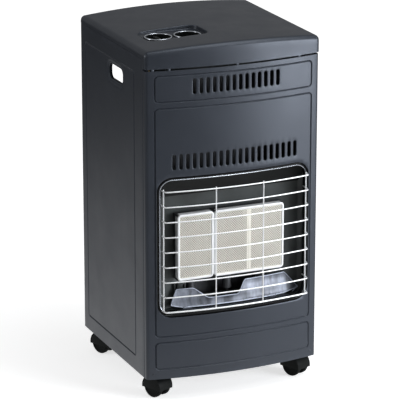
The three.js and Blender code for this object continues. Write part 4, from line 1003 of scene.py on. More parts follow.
def front_path():
    """The front panel in plan: flange, corner, side, fillet, bow, and the same back again."""
    fillet_x, fillet_y, turn = fillet_at(0, CORNER_RADIUS)
    bow_end = BOW_RADIUS * sin(radians(turn))
    fold_x, fold_y = HALF_WIDTH - FOLD, SEAM_Y - FOLD
    side = [
        ("arc", fillet_x, fillet_y, CORNER_RADIUS, -90 + turn, 0),
        ("line", (HALF_WIDTH, fillet_y), (HALF_WIDTH, fold_y)),
        ("arc", fold_x, fold_y, FOLD, 0, 90),
        ("line", (fold_x, SEAM_Y), (HALF_WIDTH - FLANGE, SEAM_Y)),
    ]
    other = mirrored(side)
    start = -bow_end - sum(run_of(*piece) for piece in other)
    return PlanPath([*other, ("bow", bow_end), *side], start)


def build_front_panel():
    width, depth, press, edge, step = lengths(
        "heater_sheets", "bead_width", "bead_depth", "window_press", "slot_edge", "sheet_step"
    )
    slot_rings = [(edge, 0), (edge * 0.45, 0.12), (edge * 0.12, 0.45), (0, edge), (0, 1.5)]
    slot_rings.append((0.01, 2.4))
    holes = [
        (capsule((i - (count - 1) / 2) * SLOT_PITCH, z, *SLOT), slot_rings)
        for count, z in SLOT_ROWS
        for i in range(count)
    ]

    def lip(share):
        def push(s, z):
            deep = SILL_DEPTH if z < WINDOW_FOOT + 2.0 and abs(s) < SILL_HALF else LIP_DEPTH
            return (0, (deep - press) * share)

        return push

    rings = [(offset, share * press) for offset, share in WINDOW_SECTION]
    rings += [(WINDOW_LIP, press, lip(share)) for share in (0.0, 0.5, 1.0)]
    window = Rounded(*WINDOW_CHANNEL, step=6.0, corner=10)
    holes.append((window, rings))
    bead = bead_profile(width, depth)
    beads = [(Rounded(*border), bead) for border in FRONT_BORDERS]
    sheet = pressed_sheet(front_path(), 0.0, FRONT_HEIGHT, holes, beads, step)
    looks = ("paint", "cabinet", "body", ["front_panel"])
    piece = sheet.piece("front_panel_sheet", *looks, sheet=SHEET)
    spots = face_spots(piece)
    gaps = window.distance(spots)
    # The channel, lip and sill round the window are black: a black surround, and painted shade on
    # the lip and sill inside the window.
    partly(piece, "black enamel", (gaps > -9.0) & (gaps < 5.6))
    # The crest faces above the foot get a light metal: a painted highlight line along the top and
    # sides of the window.
    crest = (gaps > -1.7) & (gaps < 0.5) & (spots[:, 1] > WINDOW_FOOT + 8)
    partly(piece, "polished crest", crest)


def side_path(side):
    """A side panel in plan, from one flange to the other, with its outside on the right."""
    front = SEAM_Y + SEAM_GAP
    fold_x, front_fold, rear_fold = HALF_WIDTH - FOLD, front + FOLD, REAR_Y - FOLD
    pieces = [
        ("line", (HALF_WIDTH - FLANGE, front), (fold_x, front)),
        ("arc", fold_x, front_fold, FOLD, -90, 0),
        ("line", (HALF_WIDTH, front_fold), (HALF_WIDTH, rear_fold)),
        ("arc", fold_x, rear_fold, FOLD, 0, 90),
        ("line", (fold_x, REAR_Y), (HALF_WIDTH - FLANGE, REAR_Y)),
    ]
    before = FLANGE - FOLD + FOLD * pi / 2
    if side > 0:
        return PlanPath(pieces, front_fold - before)
    return PlanPath(mirrored(pieces), -rear_fold - before)


def build_side_panels():
    width, depth, step = lengths("heater_sheets", "bead_width", "bead_depth", "sheet_step")
    (hole_y, *hole_size), (border_y, *border_size) = HAND_HOLE, SIDE_BORDER
    for side, name in ((-1, "left"), (1, "right")):
        hole = (Rounded(side * hole_y, *hole_size, step=8.0, corner=8), HAND_HOLE_SECTION)
        border = (Rounded(side * border_y, *border_size, step=9), bead_profile(width, depth))
        sheet = pressed_sheet(side_path(side), 0.0, SIDE_HEIGHT, [hole], [border], step * 1.6)
        looks = ("paint", "cabinet", "body", [f"{name}_side_panel"])
        sheet.piece(f"{name}_side_sheet", *looks, sheet=SHEET)


def build_rear():
    width, depth, edge = lengths("heater_sheets", "bead_width", "bead_depth", "slot_edge")
    rings = [(edge, 0), (edge * 0.4, 0.15), (0.1, 0.6), (0, 1.5)]
    holes = [(capsule(x, z, *COVER_SLOT), rings) for x in COVER_SLOTS_X for z in COVER_SLOTS_Z]
    path = PlanPath([("line", (COVER_HALF, COVER_Y), (-COVER_HALF, COVER_Y))], -COVER_HALF)
    bead = bead_profile(2 * width, 1.6 * depth)
    beads = [(Rounded(*border, step=9), bead) for border in COVER_BORDERS]
    sheet = pressed_sheet(path, *COVER_HEIGHTS, holes, beads, 16.0)
    looks = ("paint", "rear_cover", "body", ["rear_cover"])
    sheet.piece("rear_cover_sheet", *looks, sheet=SHEET)

    hooks = Builder()
    for side in (-1, 1):
        for x0, x1, y0, y1, z0, z1 in COVER_HOOKS:
            low, high = sorted((side * x0, side * x1))
            hooks.box((low, y0, z0), (high, y1, z1))
    hooks.piece("rear_cover_hooks", "paint", "rear_cover", "body", rounding=0.3)

    for node in ("base_tray", "rear_top_rail"):
        softened(node, 0.5, "paint", "cabinet", "body")
    softened("divider_panel", 0.5, "inner sheet", "cabinet", "steel")


def lid_top(x):
    return LID_EDGE_HEIGHT + LID_CROWN * (1 - (x / HALF_WIDTH) ** 2)


def lid_loop(inset):
    """The lid's outline moved inwards: front line, right side, rear, left side."""
    fillet = max(CORNER_RADIUS - inset, 0.75)
    x, y, turn = fillet_at(inset, fillet)
    seam, edge, rear = SEAM_Y + SEAM_GAP, HALF_WIDTH - inset, REAR_Y - inset
    r = max(LID_REAR_RADIUS - inset - LID_OVERHANG, 0.4)
    side = [seam, seam + 0.01, *[seam + (rear - r - seam) * k / 20 for k in range(1, 20)]]
    points = arc(-x, y, fillet, 180, 270 - turn, 8)[:-1]
    points += arc(0, BOW_CENTRE_Y, BOW_RADIUS - inset, -90 - turn, -90 + turn, 60)
    points += arc(x, y, fillet, -90 + turn, 0, 8)[1:]
    points += [(edge, y) for y in side]
    points += arc(edge - r, rear - r, r, 0, 90, 6)
    points += [(edge - r - (2 * edge - 2 * r) * k / 50, rear) for k in range(1, 50)]
    points += arc(-edge + r, rear - r, r, 90, 180, 6)
    return points + [(-edge, y) for y in reversed(side)]


def build_lid():
    lid = Builder()
    recess = Rounded(*RECESS, step=6.0, corner=10)
    inner = lid_loop(LID_EDGE_RADIUS - LID_OVERHANG)
    outline = np.array(inner)
    grid = grid_of(*LID_GRID)
    keep = inside_polygon(grid, outline) & (recess.distance(grid) > 4)
    keep &= nearest(grid, outline) > 3
    flat, faces, _ = region(inner, [recess.loop(2.2)], (), grid[keep])
    lid.add([(x, y, lid_top(x)) for x, y in flat], faces)
    loops = [[(x, y, lid_top(x)) for x, y in inner]]
    for k in range(1, 9):
        angle = pi / 2 * k / 8
        inset = LID_EDGE_RADIUS * (1 - sin(angle)) - LID_OVERHANG
        drop = LID_EDGE_RADIUS * (1 - cos(angle))
        loops.append([(x, y, lid_top(x) - drop) for x, y in lid_loop(inset)])
    limit = SEAM_Y + SEAM_GAP + 0.005
    walls = []
    for x, y in lid_loop(-LID_OVERHANG):
        foot = LID_APRON_FOOT if y < limit else LID_SIDE_FOOT
        walls.append((x, y, lid_top(x) - LID_EDGE_RADIUS, foot))
    for share in (0.3, 0.7, 1.0):
        loops.append([(x, y, top + (foot - top) * share) for x, y, top, foot in walls])
    lid.loft(loops, outward=False)
    rings = [
        [(x, y, lid_top(x) - depth) for x, y in recess.loop(offset)]
        for offset, depth in ((2.2, 0.0), (1.3, 0.12), (0.6, 0.5), (0.15, 1.2), (0.0, 2.2))
    ]
    rings += [
        [(x, y, RECESS_FLOOR + rise) for x, y in recess.loop(offset)]
        for offset, rise in ((0.0, 1.8), (-0.25, 0.8), (-0.9, 0.2), (-1.8, 0.0))
    ]
    lid.loft(rings)
    size = (2 * WELL_RADIUS, 2 * WELL_RADIUS, WELL_RADIUS - 0.01)
    wells = [Rounded(*middle, *size, 2 * WELL_RADIUS, 16).loop(0) for middle in (KNOB, IGNITER)]
    flat, faces, _ = region(recess.loop(-1.8), wells)
    lid.add([(x, y, RECESS_FLOOR) for x, y in flat], faces)
    looks = ("paint", "cabinet", "body", ["top_lid"])
    lid.piece("lid_sheet", *looks, sheet=LID_SHEET, angle=30)

    # A dark strip far behind the gap under the lid's apron, which stands in for the shade there and
    # keeps the gap black.
    shade_strip = Builder()
    walls = ((36.0, SHADE_STRIP_HEIGHT), (38.0, SHADE_STRIP_HEIGHT), (38.0, 0.0), (36.0, 0.0))
    xs = np.linspace(-176, 176, 60)
    shade_strip.capped([[(x, bow_y(x, inset), SHADE_STRIP_FOOT + up) for inset, up in walls] for x in xs])
    shade_strip.piece("apron_baffle", "firebox coating", "cabinet", "soot")

    spacers = Builder()
    for x in SPACERS_X:
        spacers.box((x - 3, bow_y(x) - 0.3, 683.4), (x + 3, bow_y(x) + 1.6, 688.6))
    spacers.piece("lid_spacers", "paint", "cabinet", "body", rounding=0.4)


def build_controls():
    bezel = (
        (27.1, 0.3), (29.6, 0.3), (30.0, 0.6), (29.9, 1.2), (29.5, 1.8), (28.9, 2.15), (28.2, 2.15),
        (27.5, 1.8), (27.1, 1.2), (27.0, 0.7), (27.1, 0.3),
    )
    for name, middle, bore in (("knob", KNOB, KNOB_BORE), ("igniter", IGNITER, 5.3)):
        made = Builder()
        made.turned(bezel, *middle, CUP_TOP)
        looks = ("polished crest", "cabinet", "wire", [f"{name}_bezel_ring"])
        made.piece(f"{name}_bezel", *looks)
        cup = Builder()
        section = [
            (bore, CUP_FLOOR - 1.5), (CUP_OUTER - 1.5, CUP_FLOOR - 1.5), (CUP_OUTER, CUP_FLOOR),
            (CUP_OUTER, CUP_TOP - 0.6), (31.7, CUP_TOP - 0.6), (31.7, CUP_TOP),
            (CUP_INNER + 0.3, CUP_TOP), (CUP_INNER, CUP_TOP - 0.4), (CUP_INNER, CUP_FLOOR + 2.4),
            (CUP_INNER - 0.6, CUP_FLOOR + 0.8), (CUP_INNER - 2.2, CUP_FLOOR), (bore, CUP_FLOOR),
            (bore, CUP_FLOOR - 1.5),
        ]
        cup.turned(section, *middle)
        cup.piece(f"{name}_well", "black plastic", "cabinet", "plastic", [f"{name}_cup"])
    softened("control_panel", 0.3, "sheet steel", "cabinet", "steel")

    def flutes(angle, radius):
        return -0.45 * (0.5 - 0.5 * cos(36 * angle)) if radius > 22.5 else 0.0

    (x, y), foot, bore = KNOB, KNOB_FOOT, KNOB_BORE
    knob = Builder()
    skirt = (
        (bore, 0), (23.2, 0), (24.0, 0.7), (24.0, 3.4), (23.6, 4.3), (22.6, 4.8), (20, 5),
        (11, 5.2), (0.02, 5.2),
    )
    knob.turned(skirt, x, y, foot, 144, flutes)
    knob.turned([(bore, 8.3), (bore, 0)], x, y, foot, 24)
    knob.cap([(*p, foot + 8.3) for p in ring(bore, x, y, 24)], up=False)
    grip = capsule(x, y, 11.0, 42.0, 10)
    levels = ((1.4, 4.6), (0.3, 5.6), (0, 6.8), (-0.5, 11), (-0.9, 12.2), (-1.6, 12.8), (-2.8, 13))
    knob.loft([[(*p, foot + z) for p in grip.loop(offset)] for offset, z in levels])
    knob.cap([(*p, foot + 13.0) for p in grip.loop(-2.8)])
    knob.piece("knob_body", "black plastic", "knob", "plastic", ["control_knob"])

    mark = Builder()
    line = capsule(x, y - 13.0, 1.5, 10.0, 4)
    levels = ((0, 12.9), (0, 13.02), (-0.15, 13.1))
    mark.loft([[(*p, foot + z) for p in line.loop(offset)] for offset, z in levels])
    mark.cap([(*p, foot + 13.1) for p in line.loop(-0.15)])
    mark.piece("knob_mark", "white mark", "knob", "plastic")

    button = Builder()
    top = (
        (0.02, 0), (16.2, 0), (17, 0.7), (17, 5.2), (16.6, 6.3), (15.6, 6.9), (14.4, 7),
        (13.2, 6.7), (10, 6.1), (6, 5.7), (0.02, 5.5),
    )
    button.turned(top, *IGNITER, BUTTON_FOOT)
    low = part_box("igniter_button")[0].z / MM - LIFT
    stem = [(0.02, low), (4.6, low), (5, low + 0.4), (5, BUTTON_FOOT + 0.2)]
    button.turned(stem, *IGNITER, segments=32)
    button.piece("igniter_cap", "black plastic", "igniter", "plastic", ["igniter_button"])


# ---- firebox and burners


def build_firebox():
    piece = softened("firebox_liner", 0.6, "firebox coating", "cabinet", "soot")
    flat = np.array([abs(face.normal.x) < 0.8 for face in piece.data.polygons])
    # The liner's upper faces, apart from its side walls, get a much darker copy of the coating:
    # painted shade in the top of the firebox.
    partly(piece, "firebox roof", flat & (face_spots(piece)[:, 1] > FIREBOX_ROOF))
    build_deflector()


def deflector_y(x, z):
    bend = DEFLECTOR_BEND
    return -183.5 + bend - sqrt(bend**2 - x * x) + 9.0 * (z - 148) / 56


def build_deflector():
    corners = [Vector(corner) for corner in DEFLECTOR_OUTLINE]
    dense = []
    for a, b, c in zip([corners[-1], *corners], corners, [*corners[1:], corners[0]]):
        turn = eased(a, b, c, DEFLECTOR_CUT)
        end = b + (c - b).normalized() * DEFLECTOR_CUT
        run = c + (b - c).normalized() * DEFLECTOR_CUT - end
        parts = ceil(run.length / 5)
        dense += [tuple(p) for p in (*turn, *(end + run * k / parts for k in range(1, parts)))]
    loop = np.array(dense)
    along = np.roll(loop, -1, axis=0) - np.roll(loop, 1, axis=0)
    along /= np.linalg.norm(along, axis=1)[:, None]
    inward = np.stack([-along[:, 1], along[:, 0]], axis=1)

    inner = loop + inward * 2.4
    grid = grid_of(*DEFLECTOR_GRID)
    keep = inside_polygon(grid, inner) & (nearest(grid, inner) > 2.0)
    flat, faces, _ = region([tuple(p) for p in inner], spots=grid[keep])
    sunk = 0.7 + 1.8 * np.clip(nearest(flat, inner) / 7.0, 0, 1) ** 1.5
    plate = Builder()
    plate.add([(x, deflector_y(x, z) + deep, z) for (x, z), deep in zip(flat, sunk)], faces)
    rim = ((2.4, 0.7), (2.0, 0.2), (1.6, -0.5), (1.2, -0.8), (0.7, -0.8), (0.3, -0.4), (0.0, 0.3))
    loops = [[(x, deflector_y(x, z) + y, z) for x, z in loop + inward * d] for d, y in rim]
    plate.loft(loops, outward=False)
    looks = ("reflector sheet", "cabinet", "reflector", ["deflector"])
    piece = plate.piece("deflector_sheet", *looks, sheet=1.0, angle=50)
    # The rim faces get a lighter copy of the reflector sheet: a painted highlight round the
    # deflector's edge.
    partly(piece, "reflector edge", ~inside_polygon(face_spots(piece), loop + inward * 2.2))

    feet = Builder()
    for x in (-100.0, 100.0):
        y = deflector_y(x, 148)
        feet.box((x - 10, y + 0.6, 144.9), (x + 10, y + 2.0, 152.0))
    feet.piece("deflector_feet", "reflector sheet", "cabinet", "reflector", rounding=0.3)


def hole_tile(pitch, radius, depth):
    """One diamond of ceramic with a round blind hole, centred on the origin and facing -y."""
    reach = pitch / 2
    corners = [(reach, 0), (reach / 2, reach / 2), (0, reach), (-reach / 2, reach / 2)]
    corners += [(-x, -z) for x, z in corners]
    rim = ring(radius, segments=8)
    tile = Builder()
    floor = [(0.8 * x, depth, 0.8 * z) for x, z in rim]
    tile.loft([[(x, 0, z) for x, z in corners], [(x, 0, z) for x, z in rim], floor])
    tile.faces.append(tuple(range(16, 24)))
    mesh = mesh_of("hole_tile", tile.points, tile.faces, metres)
    # The sunk attribute runs from 0 at the face to 1 at the hole's floor; the ceramic finish paints
    # shade in the hole by it.
    sunk = mesh.attributes.new("sunk", "FLOAT", "POINT")
    sunk.data.foreach_set("value", [0.0] * 8 + [0.45] * 8 + [1.0] * 8)
    return new_object("hole_tile", mesh)


def build_burners():
    pitch, hole, deep, margin = lengths("heater_plaques", "pitch", "hole", "depth", "margin")
    tile = hole_tile(pitch, hole / 2, deep)
    tree = perforation_tree()
    width, height, depth = PLAQUE
    columns, rows = (int((size - 2 * margin) // pitch) for size in (width, height))
    middle_z = PLAQUE_FOOT + height / 2
    y0, y1 = PLAQUE_FACE_Y, PLAQUE_FACE_Y + depth

    def rectangle(x, y, w, h):
        low, high = middle_z - h, middle_z + h
        return [(x - w, y, low), (x + w, y, low), (x + w, y, high), (x - w, y, high)]

    looks = ("matte ceramic", "cabinet", "ceramic")
    values = {"Tile": tile, "Columns": columns, "Rows": rows, "Pitch": pitch * MM}
    values["Material"] = bpy.data.materials["matte ceramic"]
    for name, x in PLAQUES.items():
        middle = place(x, y0 + 0.15, middle_z)
        field = grown(f"plaque_{name}_holes", tree, **values, Corner=middle)
        finished(field, *looks, [f"ceramic_plaque_{name}"], angle=40)
        inner = (columns * pitch / 2 - pitch / 2, rows * pitch / 2 - pitch / 2)
        outer = (width / 2, height / 2)
        levels = ((y0 + 3.0, inner), (y0 + 0.35, inner), (y0 + 0.35, outer), (y1, outer))
        slab = Builder()
        slab.capped([rectangle(x, y, *size) for y, size in levels], outward=False)
        slab.piece(f"plaque_{name}_body", *looks)
    bpy.data.objects.remove(tile)

    for name, places in (("left", ("left",)), ("right", ("centre", "right"))):
        x0 = PLAQUES[places[0]] - width / 2
        x1 = PLAQUES[places[-1]] + width / 2
        shape = Rounded((x0 + x1) / 2, middle_z, x1 - x0, height, 6.0, step=12.0, corner=8)
        rim = Builder()
        rim.loft([[(x, y, z) for x, z in shape.loop(offset)] for offset, y in BURNER_FRAME])
        metal = ("bright frame", "cabinet", "steel", [f"burner_frame_{name}"])
        rim.piece(f"burner_frame_{name}_rim", *metal, angle=50)
        softened(f"burner_box_{name}", 0.4, "inner sheet", "cabinet", "steel")
    for name in PLAQUES:
        softened(f"venturi_{name}", 0.25, "inner sheet", "cabinet", "steel")
    seam = Builder()
    x = (PLAQUES["centre"] + PLAQUES["right"]) / 2
    low, high = PLAQUE_FOOT + 2.5, PLAQUE_FOOT + height - 2.5
    seam.box((x - 1.6, y0 + 0.1, low), (x + 1.6, y0 + 2, high))
    piece = seam.piece("plaque_cement_seam", *looks, rounding=0.3)
    # The seam gets the sunk attribute at 0.15, which makes its cement slightly darker.
    shaded = piece.data.attributes.new("sunk", "FLOAT", "POINT")
    shaded.data.foreach_set("value", [0.15] * len(piece.data.vertices))


def build_fittings():
    """Gas, pilot and ignition pieces inside the cabinet."""
    for node, width, finish, slot in (
        ("gas_valve", 0.8, "turned brass", "brass"),
        ("inlet_hose_barb", 0.15, "turned brass", "brass"),
        ("valve_bracket", 0.3, "sheet steel", "steel"),
        ("igniter_body", 0.6, "black plastic", "plastic"),
        ("gas_manifold", 0.6, "stained metal", "brass"),
        ("pilot_burner", 0.3, "stained metal", "brass"),
        ("spark_electrode", 0.2, "stained metal", "insulator"),
        ("supply_tube", 0, "drawn copper", "copper"),
        ("pilot_tube", 0, "stained metal", "copper"),
        ("thermocouple", 0, "stained metal", "copper"),
        ("ignition_lead", 0, "tread rubber", "rubber"),
    ):
        softened(node, width, finish, "cabinet", slot, angle=35 if width else 50)
    softened("valve_spindle", 0.4, "brass", "spindle", "brass")


# ---- wire guard


def curve_object(name, points):
    curve = bpy.data.curves.new(name, "CURVE")
    curve.dimensions = "3D"
    spline = curve.splines.new("POLY")
    spline.points.add(len(points) - 1)
    for target, point in zip(spline.points, points):
        target.co = (*place(*point), 1)
    return new_object(name, curve)


def bent(points, radius):
    """A line through its corners, with each inner corner rounded."""
    corners = [Vector(p) for p in points]
    path = [corners[0]]
    for a, b, c in zip(corners[:-2], corners[1:-1], corners[2:]):
        path += eased(a, b, c, radius)
    return [tuple(p) for p in (*path, corners[-1])]


def build_guard():
    wire, bottom_wire, pitch = lengths("heater_guard", "wire", "bottom_wire", "pitch")
    rows = bpy.context.scene.heater_guard.rows
    tree = wire_tree()
    material = bpy.data.materials["chrome wire"]
    side_y = bow_y(GUARD_SIDE_X) - GUARD_SIDE_Y
    xs = np.linspace(-GUARD_FRONT_X, GUARD_FRONT_X, 33)
    front = [(x, bow_y(x) - GUARD_PROUD, 0.0) for x in xs]
    corner_y = bow_y(GUARD_FRONT_X + 5.5) - GUARD_PROUD + 0.4
    end_y = side_y + 2.0
    left = [(-GUARD_END_X, end_y, 0), (-GUARD_CORNER_X, corner_y, 0), front[0]]
    right = [front[-1], (GUARD_CORNER_X, corner_y, 0), (GUARD_END_X, end_y, 0)]
    left, right = bent(left, GUARD_BEND), bent(right, GUARD_BEND)
    row = [*left[:-1], *front, *right[1:]]
    pieces = []

    def wires(name, points, count=1, thick=wire):
        path = curve_object(name + "_path", points)
        values = {"Path": path, "Rows": count, "Pitch": pitch * MM, "Radius": thick / 2 * MM}
        pieces.append(grown(name, tree, **values, Material=material))
        bpy.data.objects.remove(path)

    wires("guard_rows", [(x, y, GUARD_FOOT + pitch) for x, y, _ in row], rows - 1)
    wires("guard_bottom", [(x, y, GUARD_FOOT) for x, y, _ in row], 1, bottom_wire)
    top = GUARD_FOOT + (rows - 1) * pitch + 3
    inner_y = bow_y(GUARD_INNER_X) - GUARD_PROUD + 0.8 * wire
    for side, name in ((-1, "left"), (1, "right")):
        x = side * GUARD_SIDE_X
        wires(f"guard_side_{name}", [(x, side_y, GUARD_FOOT - 3), (x, side_y, top)])
        inner_x = side * GUARD_INNER_X
        wires(f"guard_inner_{name}", [(inner_x, inner_y, GUARD_FOOT), (inner_x, inner_y, top)])
        hook_x = side * GUARD_HOOK_X
        for hook in GUARD_HOOK_ROWS:
            z = GUARD_FOOT + hook * pitch
            end_y = side_y + GUARD_HOOK_REACH
            path = [(x, side_y, z), (hook_x, side_y + 5, z), (hook_x, end_y, z)]
            wires(f"guard_hook_{name}_{hook}", bent(path, GUARD_HOOK_BEND))
    bpy.ops.object.select_all(action="DESELECT")
    for piece in pieces:
        piece.select_set(True)
    bpy.context.view_layer.objects.active = pieces[0]
    bpy.ops.object.join()
    pieces[0].name = "guard_wires"
    finished(pieces[0], "chrome wire", "cabinet", "wire", ["wire_guard"], angle=60)


# ---- castors


def swung(piece, x, y, turn):
    """Turns a mesh about the upright line at x, y, by degrees."""
    pivot = Vector(place(x, y, 0))
    turned = Matrix.Rotation(radians(turn), 4, "Z")
    piece.data.transform(Matrix.Translation(pivot) @ turned @ Matrix.Translation(-pivot))
    return piece


def hood_skirt(x, axle_y, axle_z):
    """The hood's lower edge before and behind the wheels, and its closed outer ends."""
    skirt = Builder()
    half = HOOD_HALF

    def at(along, radius, angle):
        return (x + along, axle_y + radius * cos(angle), axle_z + radius * sin(angle))

    low = asin(HOOD_DROP / HOOD_RADIUS)
    edge, inner, outer = half - 0.1, HOOD_INNER, HOOD_OUTER
    section = ((-edge, inner), (edge, inner), (edge, outer), (-edge, outer))
    for start, end in ((-low, 0.14), (pi - 0.14, pi + low)):
        angles = np.linspace(start, end, 5)
        skirt.capped([[at(*corner, angle) for corner in section] for angle in angles])
    angles = np.linspace(-low, pi + low, 49)
    steps = ((half - 1.5, 26.3), (half - 0.6, 26.3), (half - 0.2, 26.0), (half - 0.02, inner))
    for side in (-1, 1):
        skirt.capped([[at(side * along, r, angle) for angle in angles] for along, r in steps])
    return skirt


def build_castors():
    axle_z = WHEEL_RADIUS - LIFT
    for name, (x, y, turn) in CASTOR_AXES.items():
        body = f"castor_{name}"
        axle_y = y + CASTOR_TRAIL
        softened(body + "_mount", 0.3, "sheet steel", "cabinet", "steel")
        softened(body + "_hood", 0.7, "black plastic", body, "plastic", segments=3, angle=40)
        softened(body + "_axle", 0.3, "sheet steel", body, "steel", angle=40)
        piece = swung(hood_skirt(x, axle_y, axle_z).object(body + "_skirt"), x, y, turn)
        finished(piece, "black plastic", body, "plastic", angle=40)
        for side, word, short in ((-1, "left", "l"), (1, "right", "r")):
            wheel = Builder()
            rings = []
            for along, radius in WHEEL_SECTION:
                wheel_x = x + side * (WHEEL_INNER + along)
                rings.append([(wheel_x, *p) for p in ring(radius, axle_y, axle_z)])
            wheel.loft(rings, outward=side < 0)
            node = f"{body}_{word}_wheel"
            piece = swung(wheel.object(node + "_tread"), x, y, turn)
            finished(piece, "tread rubber", f"{body}_wheel_{short}", "rubber", [node], angle=35)


# ---- screws


def screw_head(radius, height):
    """A pan head with a cross recess, standing on the origin along z."""
    section = ((1, 0.0), (1, 0.35), (0.9, 0.75), (0.62, 1), (0.6, 1))
    rings = [[(*p, height * up) for p in ring(radius * part, segments=24)] for part, up in section]
    recess = []
    for k, (x, y) in enumerate(ring(radius, segments=24)):
        deep = 0.55 * height if k % 6 in (0, 1, 5) else 0.12 * height
        reach = 0.5 if k % 6 == 0 else 0.34
        recess.append((reach * x, reach * y, height - deep))
    head = Builder()
    head.loft([*rings, recess])
    base = len(head.points) - 24
    head.faces += [(base + i, base + (i + 1) % 24, base + 24) for i in range(24)]
    head.points.append((0, 0, 0.35 * height))
    return new_object("screw_head", mesh_of("screw_head", head.points, head.faces, metres))


def build_screws():
    tree = fastener_tree()
    head = screw_head(*SCREW)
    points, normals = [], []
    for side in (-1, 1):
        for x, heights in REAR_SCREWS:
            points += [(side * x, REAR_Y, z) for z in heights]
            normals += [0, 1, 0] * len(heights)
        x, z = side * FRONT_SCREWS[0], FRONT_SCREWS[1]
        points.append((x, bow_y(x), z))
        normals += [x / BOW_RADIUS, -cos(asin(x / BOW_RADIUS)), 0]
    mesh = mesh_of("cabinet_screws", points, [])
    facing = mesh.attributes.new("facing", "FLOAT_VECTOR", "POINT")
    facing.data.foreach_set("vector", normals)
    values = {"Fastener": head, "Material": bpy.data.materials["paint"]}
    piece = grown("cabinet_screws", tree, mesh, **values)
    finished(piece, "paint", "cabinet", "body", angle=35)
    bpy.data.objects.remove(head)


# ---- stage


def aimed(name, data, location, way):
    """An object that looks one way from its place."""
    made = new_object(name, data)
    made.location = location
    made.rotation_mode = "QUATERNION"
    made.rotation_quaternion = way.to_track_quat("-Z", "Y")
    return made


def build_stage():
    scene = bpy.context.scene
    scene.view_settings.view_transform = "Standard"

    turn, rise = radians(CAMERA_TURN), radians(CAMERA_RISE)
    back = Vector((sin(turn) * cos(rise), -cos(turn) * cos(rise), sin(rise)))
    camera = bpy.data.cameras.new("camera")
    camera.lens, camera.sensor_width = CAMERA_LENS, CAMERA_SENSOR
    camera.clip_start, camera.clip_end = 0.1, 200
    eye = Vector(CAMERA_TARGET) + back * CAMERA_DISTANCE
    scene.camera = aimed("camera", camera, eye, -back)

    mesh = bpy.data.meshes.new("floor")
    corners = ((-1, -1), (1, -1), (1, 1), (-1, 1))
    mesh.from_pydata([(x * FLOOR_HALF, y * FLOOR_HALF, 0) for x, y in corners], [], [(0, 1, 2, 3)])
    floor = new_object("floor", mesh)
    material = bpy.data.materials.new("pale floor")
    material.use_nodes = True
    tree = material.node_tree
    shader = tree.nodes["Principled BSDF"]
    feeds = {"Base Color": (0.8, 0.8, 0.8, 1), "Roughness": 0.9, "Specular IOR Level": 0.0}
    fed(tree, shader, feeds)
    rays = tree.nodes.new("ShaderNodeLightPath").outputs
    spot = wired(tree, "ShaderNodeTexCoord", {}, "Object")
    away = wired(tree, "ShaderNodeVectorMath", {0: spot}, "Value", operation="LENGTH")
    glow = times(tree, rays["Is Camera Ray"], spread(tree, away, 1.0, 3.5, 0.66, 0.86))
    # In reflections the floor is an emission, brightest near the heater and fading away from it: a
    # painted pool of light for the panels to reflect.
    reflected_light_pool = spread(tree, away, 0.3, 2.4, 0.95, 0.05)
    glow, reflected_light_pool = (wired(tree, "ShaderNodeEmission", {"Strength": s}) for s in (glow, reflected_light_pool))
    seen = wired(tree, "ShaderNodeAddShader", {0: shader.outputs[0], 1: glow})
    both = wired(tree, "ShaderNodeMixShader", {0: rays["Is Glossy Ray"], 1: seen, 2: reflected_light_pool})
    fed(tree, tree.nodes["Material Output"], {"Surface": both})
    mesh.materials.append(material)

    world = bpy.data.worlds.new("studio")
    scene.world = world
    world.use_nodes = True
    tree = world.node_tree
    rays = tree.nodes.new("ShaderNodeLightPath").outputs
    seen = reckoned(tree, "ADD", rays["Is Camera Ray"], rays["Is Transmission Ray"], True)
    seen = reckoned(tree, "ADD", times(tree, seen, 0.8), 0.2)
    seen = reckoned(tree, "ADD", times(tree, rays["Is Glossy Ray"], 0.1), seen)
    feeds = {"Color": (1, 1, 1, 1), "Strength": reckoned(tree, "MINIMUM", seen, 1.0)}
    fed(tree, tree.nodes["Background"], feeds)

    for name, (size, location, power, tint) in LIGHTS.items():
        data = bpy.data.lights.new(name, "AREA")
        data.shape, data.energy, data.color = "RECTANGLE", power, tint
        data.size, data.size_y = size
        aimed(name, data, location, Vector(LIGHTS_TARGET) - Vector(location))


# ---- add-on classes


class HeaterOperator(bpy.types.Operator):
    """A step of the heater that raises an error when it can't finish"""

    bl_options = {"REGISTER", "UNDO"}
    steps = ()

    def execute(self, context):
        for step in self.steps:
            step()
        return {"FINISHED"}


class HEATER_OT_finishes(HeaterOperator):
    """Makes the materials of all the pieces"""

    bl_idname = "heater.finishes"
    bl_label = "Finishes"
    steps = (build_finishes,)


class HEATER_OT_stage(HeaterOperator):
    """Makes the floor, the lights, the surroundings and the camera"""

    bl_idname = "heater.stage"
    bl_label = "Stage"
    steps = (build_stage,)


class HEATER_OT_cabinet(HeaterOperator):
    """Makes the front panel and the side panels with their pressed lines, slots and window"""

    bl_idname = "heater.cabinet"
    bl_label = "Cabinet panels"
    steps = (build_front_panel, build_side_panels)


class HEATER_OT_rear(HeaterOperator):
    """Makes the rear cover, rail, base tray and partition"""

    bl_idname = "heater.rear"
    bl_label = "Rear and base"
    steps = (build_rear,)


class HEATER_OT_lid(HeaterOperator):
    """Makes the crowned lid with the sunk recess"""

    bl_idname = "heater.lid"
    bl_label = "Lid"
    steps = (build_lid,)


class HEATER_OT_controls(HeaterOperator):
    """Makes the knob, the igniter button, their wells and rings"""

    bl_idname = "heater.controls"
    bl_label = "Controls"
    steps = (build_controls,)


class HEATER_OT_firebox(HeaterOperator):
    """Makes the firebox and the deflector"""

    bl_idname = "heater.firebox"
    bl_label = "Firebox"
    steps = (build_firebox,)


class HEATER_OT_burners(HeaterOperator):
    """Makes the perforated plaques with their frames and boxes"""

    bl_idname = "heater.burners"
    bl_label = "Burners"
    steps = (build_burners,)


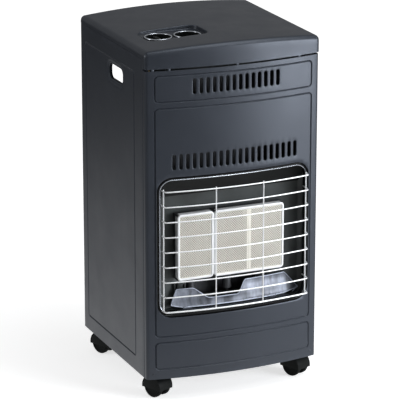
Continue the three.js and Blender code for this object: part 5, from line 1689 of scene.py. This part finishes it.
class HEATER_OT_fittings(HeaterOperator):
    """Makes the gas, pilot and ignition pieces"""

    bl_idname = "heater.fittings"
    bl_label = "Fittings"
    steps = (build_fittings,)


class HEATER_OT_guard(HeaterOperator):
    """Makes the wire guard"""

    bl_idname = "heater.guard"
    bl_label = "Wire guard"
    steps = (build_guard,)


class HEATER_OT_castors(HeaterOperator):
    """Makes the four twin-wheel castors"""

    bl_idname = "heater.castors"
    bl_label = "Castors"
    steps = (build_castors,)


class HEATER_OT_screws(HeaterOperator):
    """Makes the screws of the sheets"""

    bl_idname = "heater.screws"
    bl_label = "Screws"
    steps = (build_screws,)


OPERATORS = (
    HEATER_OT_finishes,
    HEATER_OT_stage,
    HEATER_OT_cabinet,
    HEATER_OT_rear,
    HEATER_OT_lid,
    HEATER_OT_controls,
    HEATER_OT_firebox,
    HEATER_OT_burners,
    HEATER_OT_fittings,
    HEATER_OT_guard,
    HEATER_OT_castors,
    HEATER_OT_screws,
)

SETTINGS = {
    "heater_sheets": HeaterSheetSizes,
    "heater_plaques": HeaterPlaqueSizes,
    "heater_guard": HeaterGuardSizes,
    "heater_colours": HeaterColours,
}


class HEATER_PT_pieces(bpy.types.Panel):
    """Lists the steps and the settings of the heater"""

    bl_idname = "HEATER_PT_pieces"
    bl_label = "Gas cabinet heater"
    bl_space_type = "VIEW_3D"
    bl_region_type = "UI"
    bl_category = "Heater"

    def draw(self, context):
        for operator in OPERATORS:
            self.layout.operator(operator.bl_idname)
        for name, group in SETTINGS.items():
            box = self.layout.box()
            for setting in group.__annotations__:
                box.prop(getattr(context.scene, name), setting)


def register():
    for made in (*SETTINGS.values(), *OPERATORS, HEATER_PT_pieces):
        bpy.utils.register_class(made)
    for name, group in SETTINGS.items():
        setattr(bpy.types.Scene, name, bpy.props.PointerProperty(type=group))


def unregister():
    for name in SETTINGS:
        delattr(bpy.types.Scene, name)
    for made in reversed((*SETTINGS.values(), *OPERATORS, HEATER_PT_pieces)):
        bpy.utils.unregister_class(made)


def main():
    register()
    for operator in OPERATORS:
        group, name = operator.bl_idname.split(".")
        getattr(getattr(bpy.ops, group), name)()


if __name__ == "__main__":
    main()
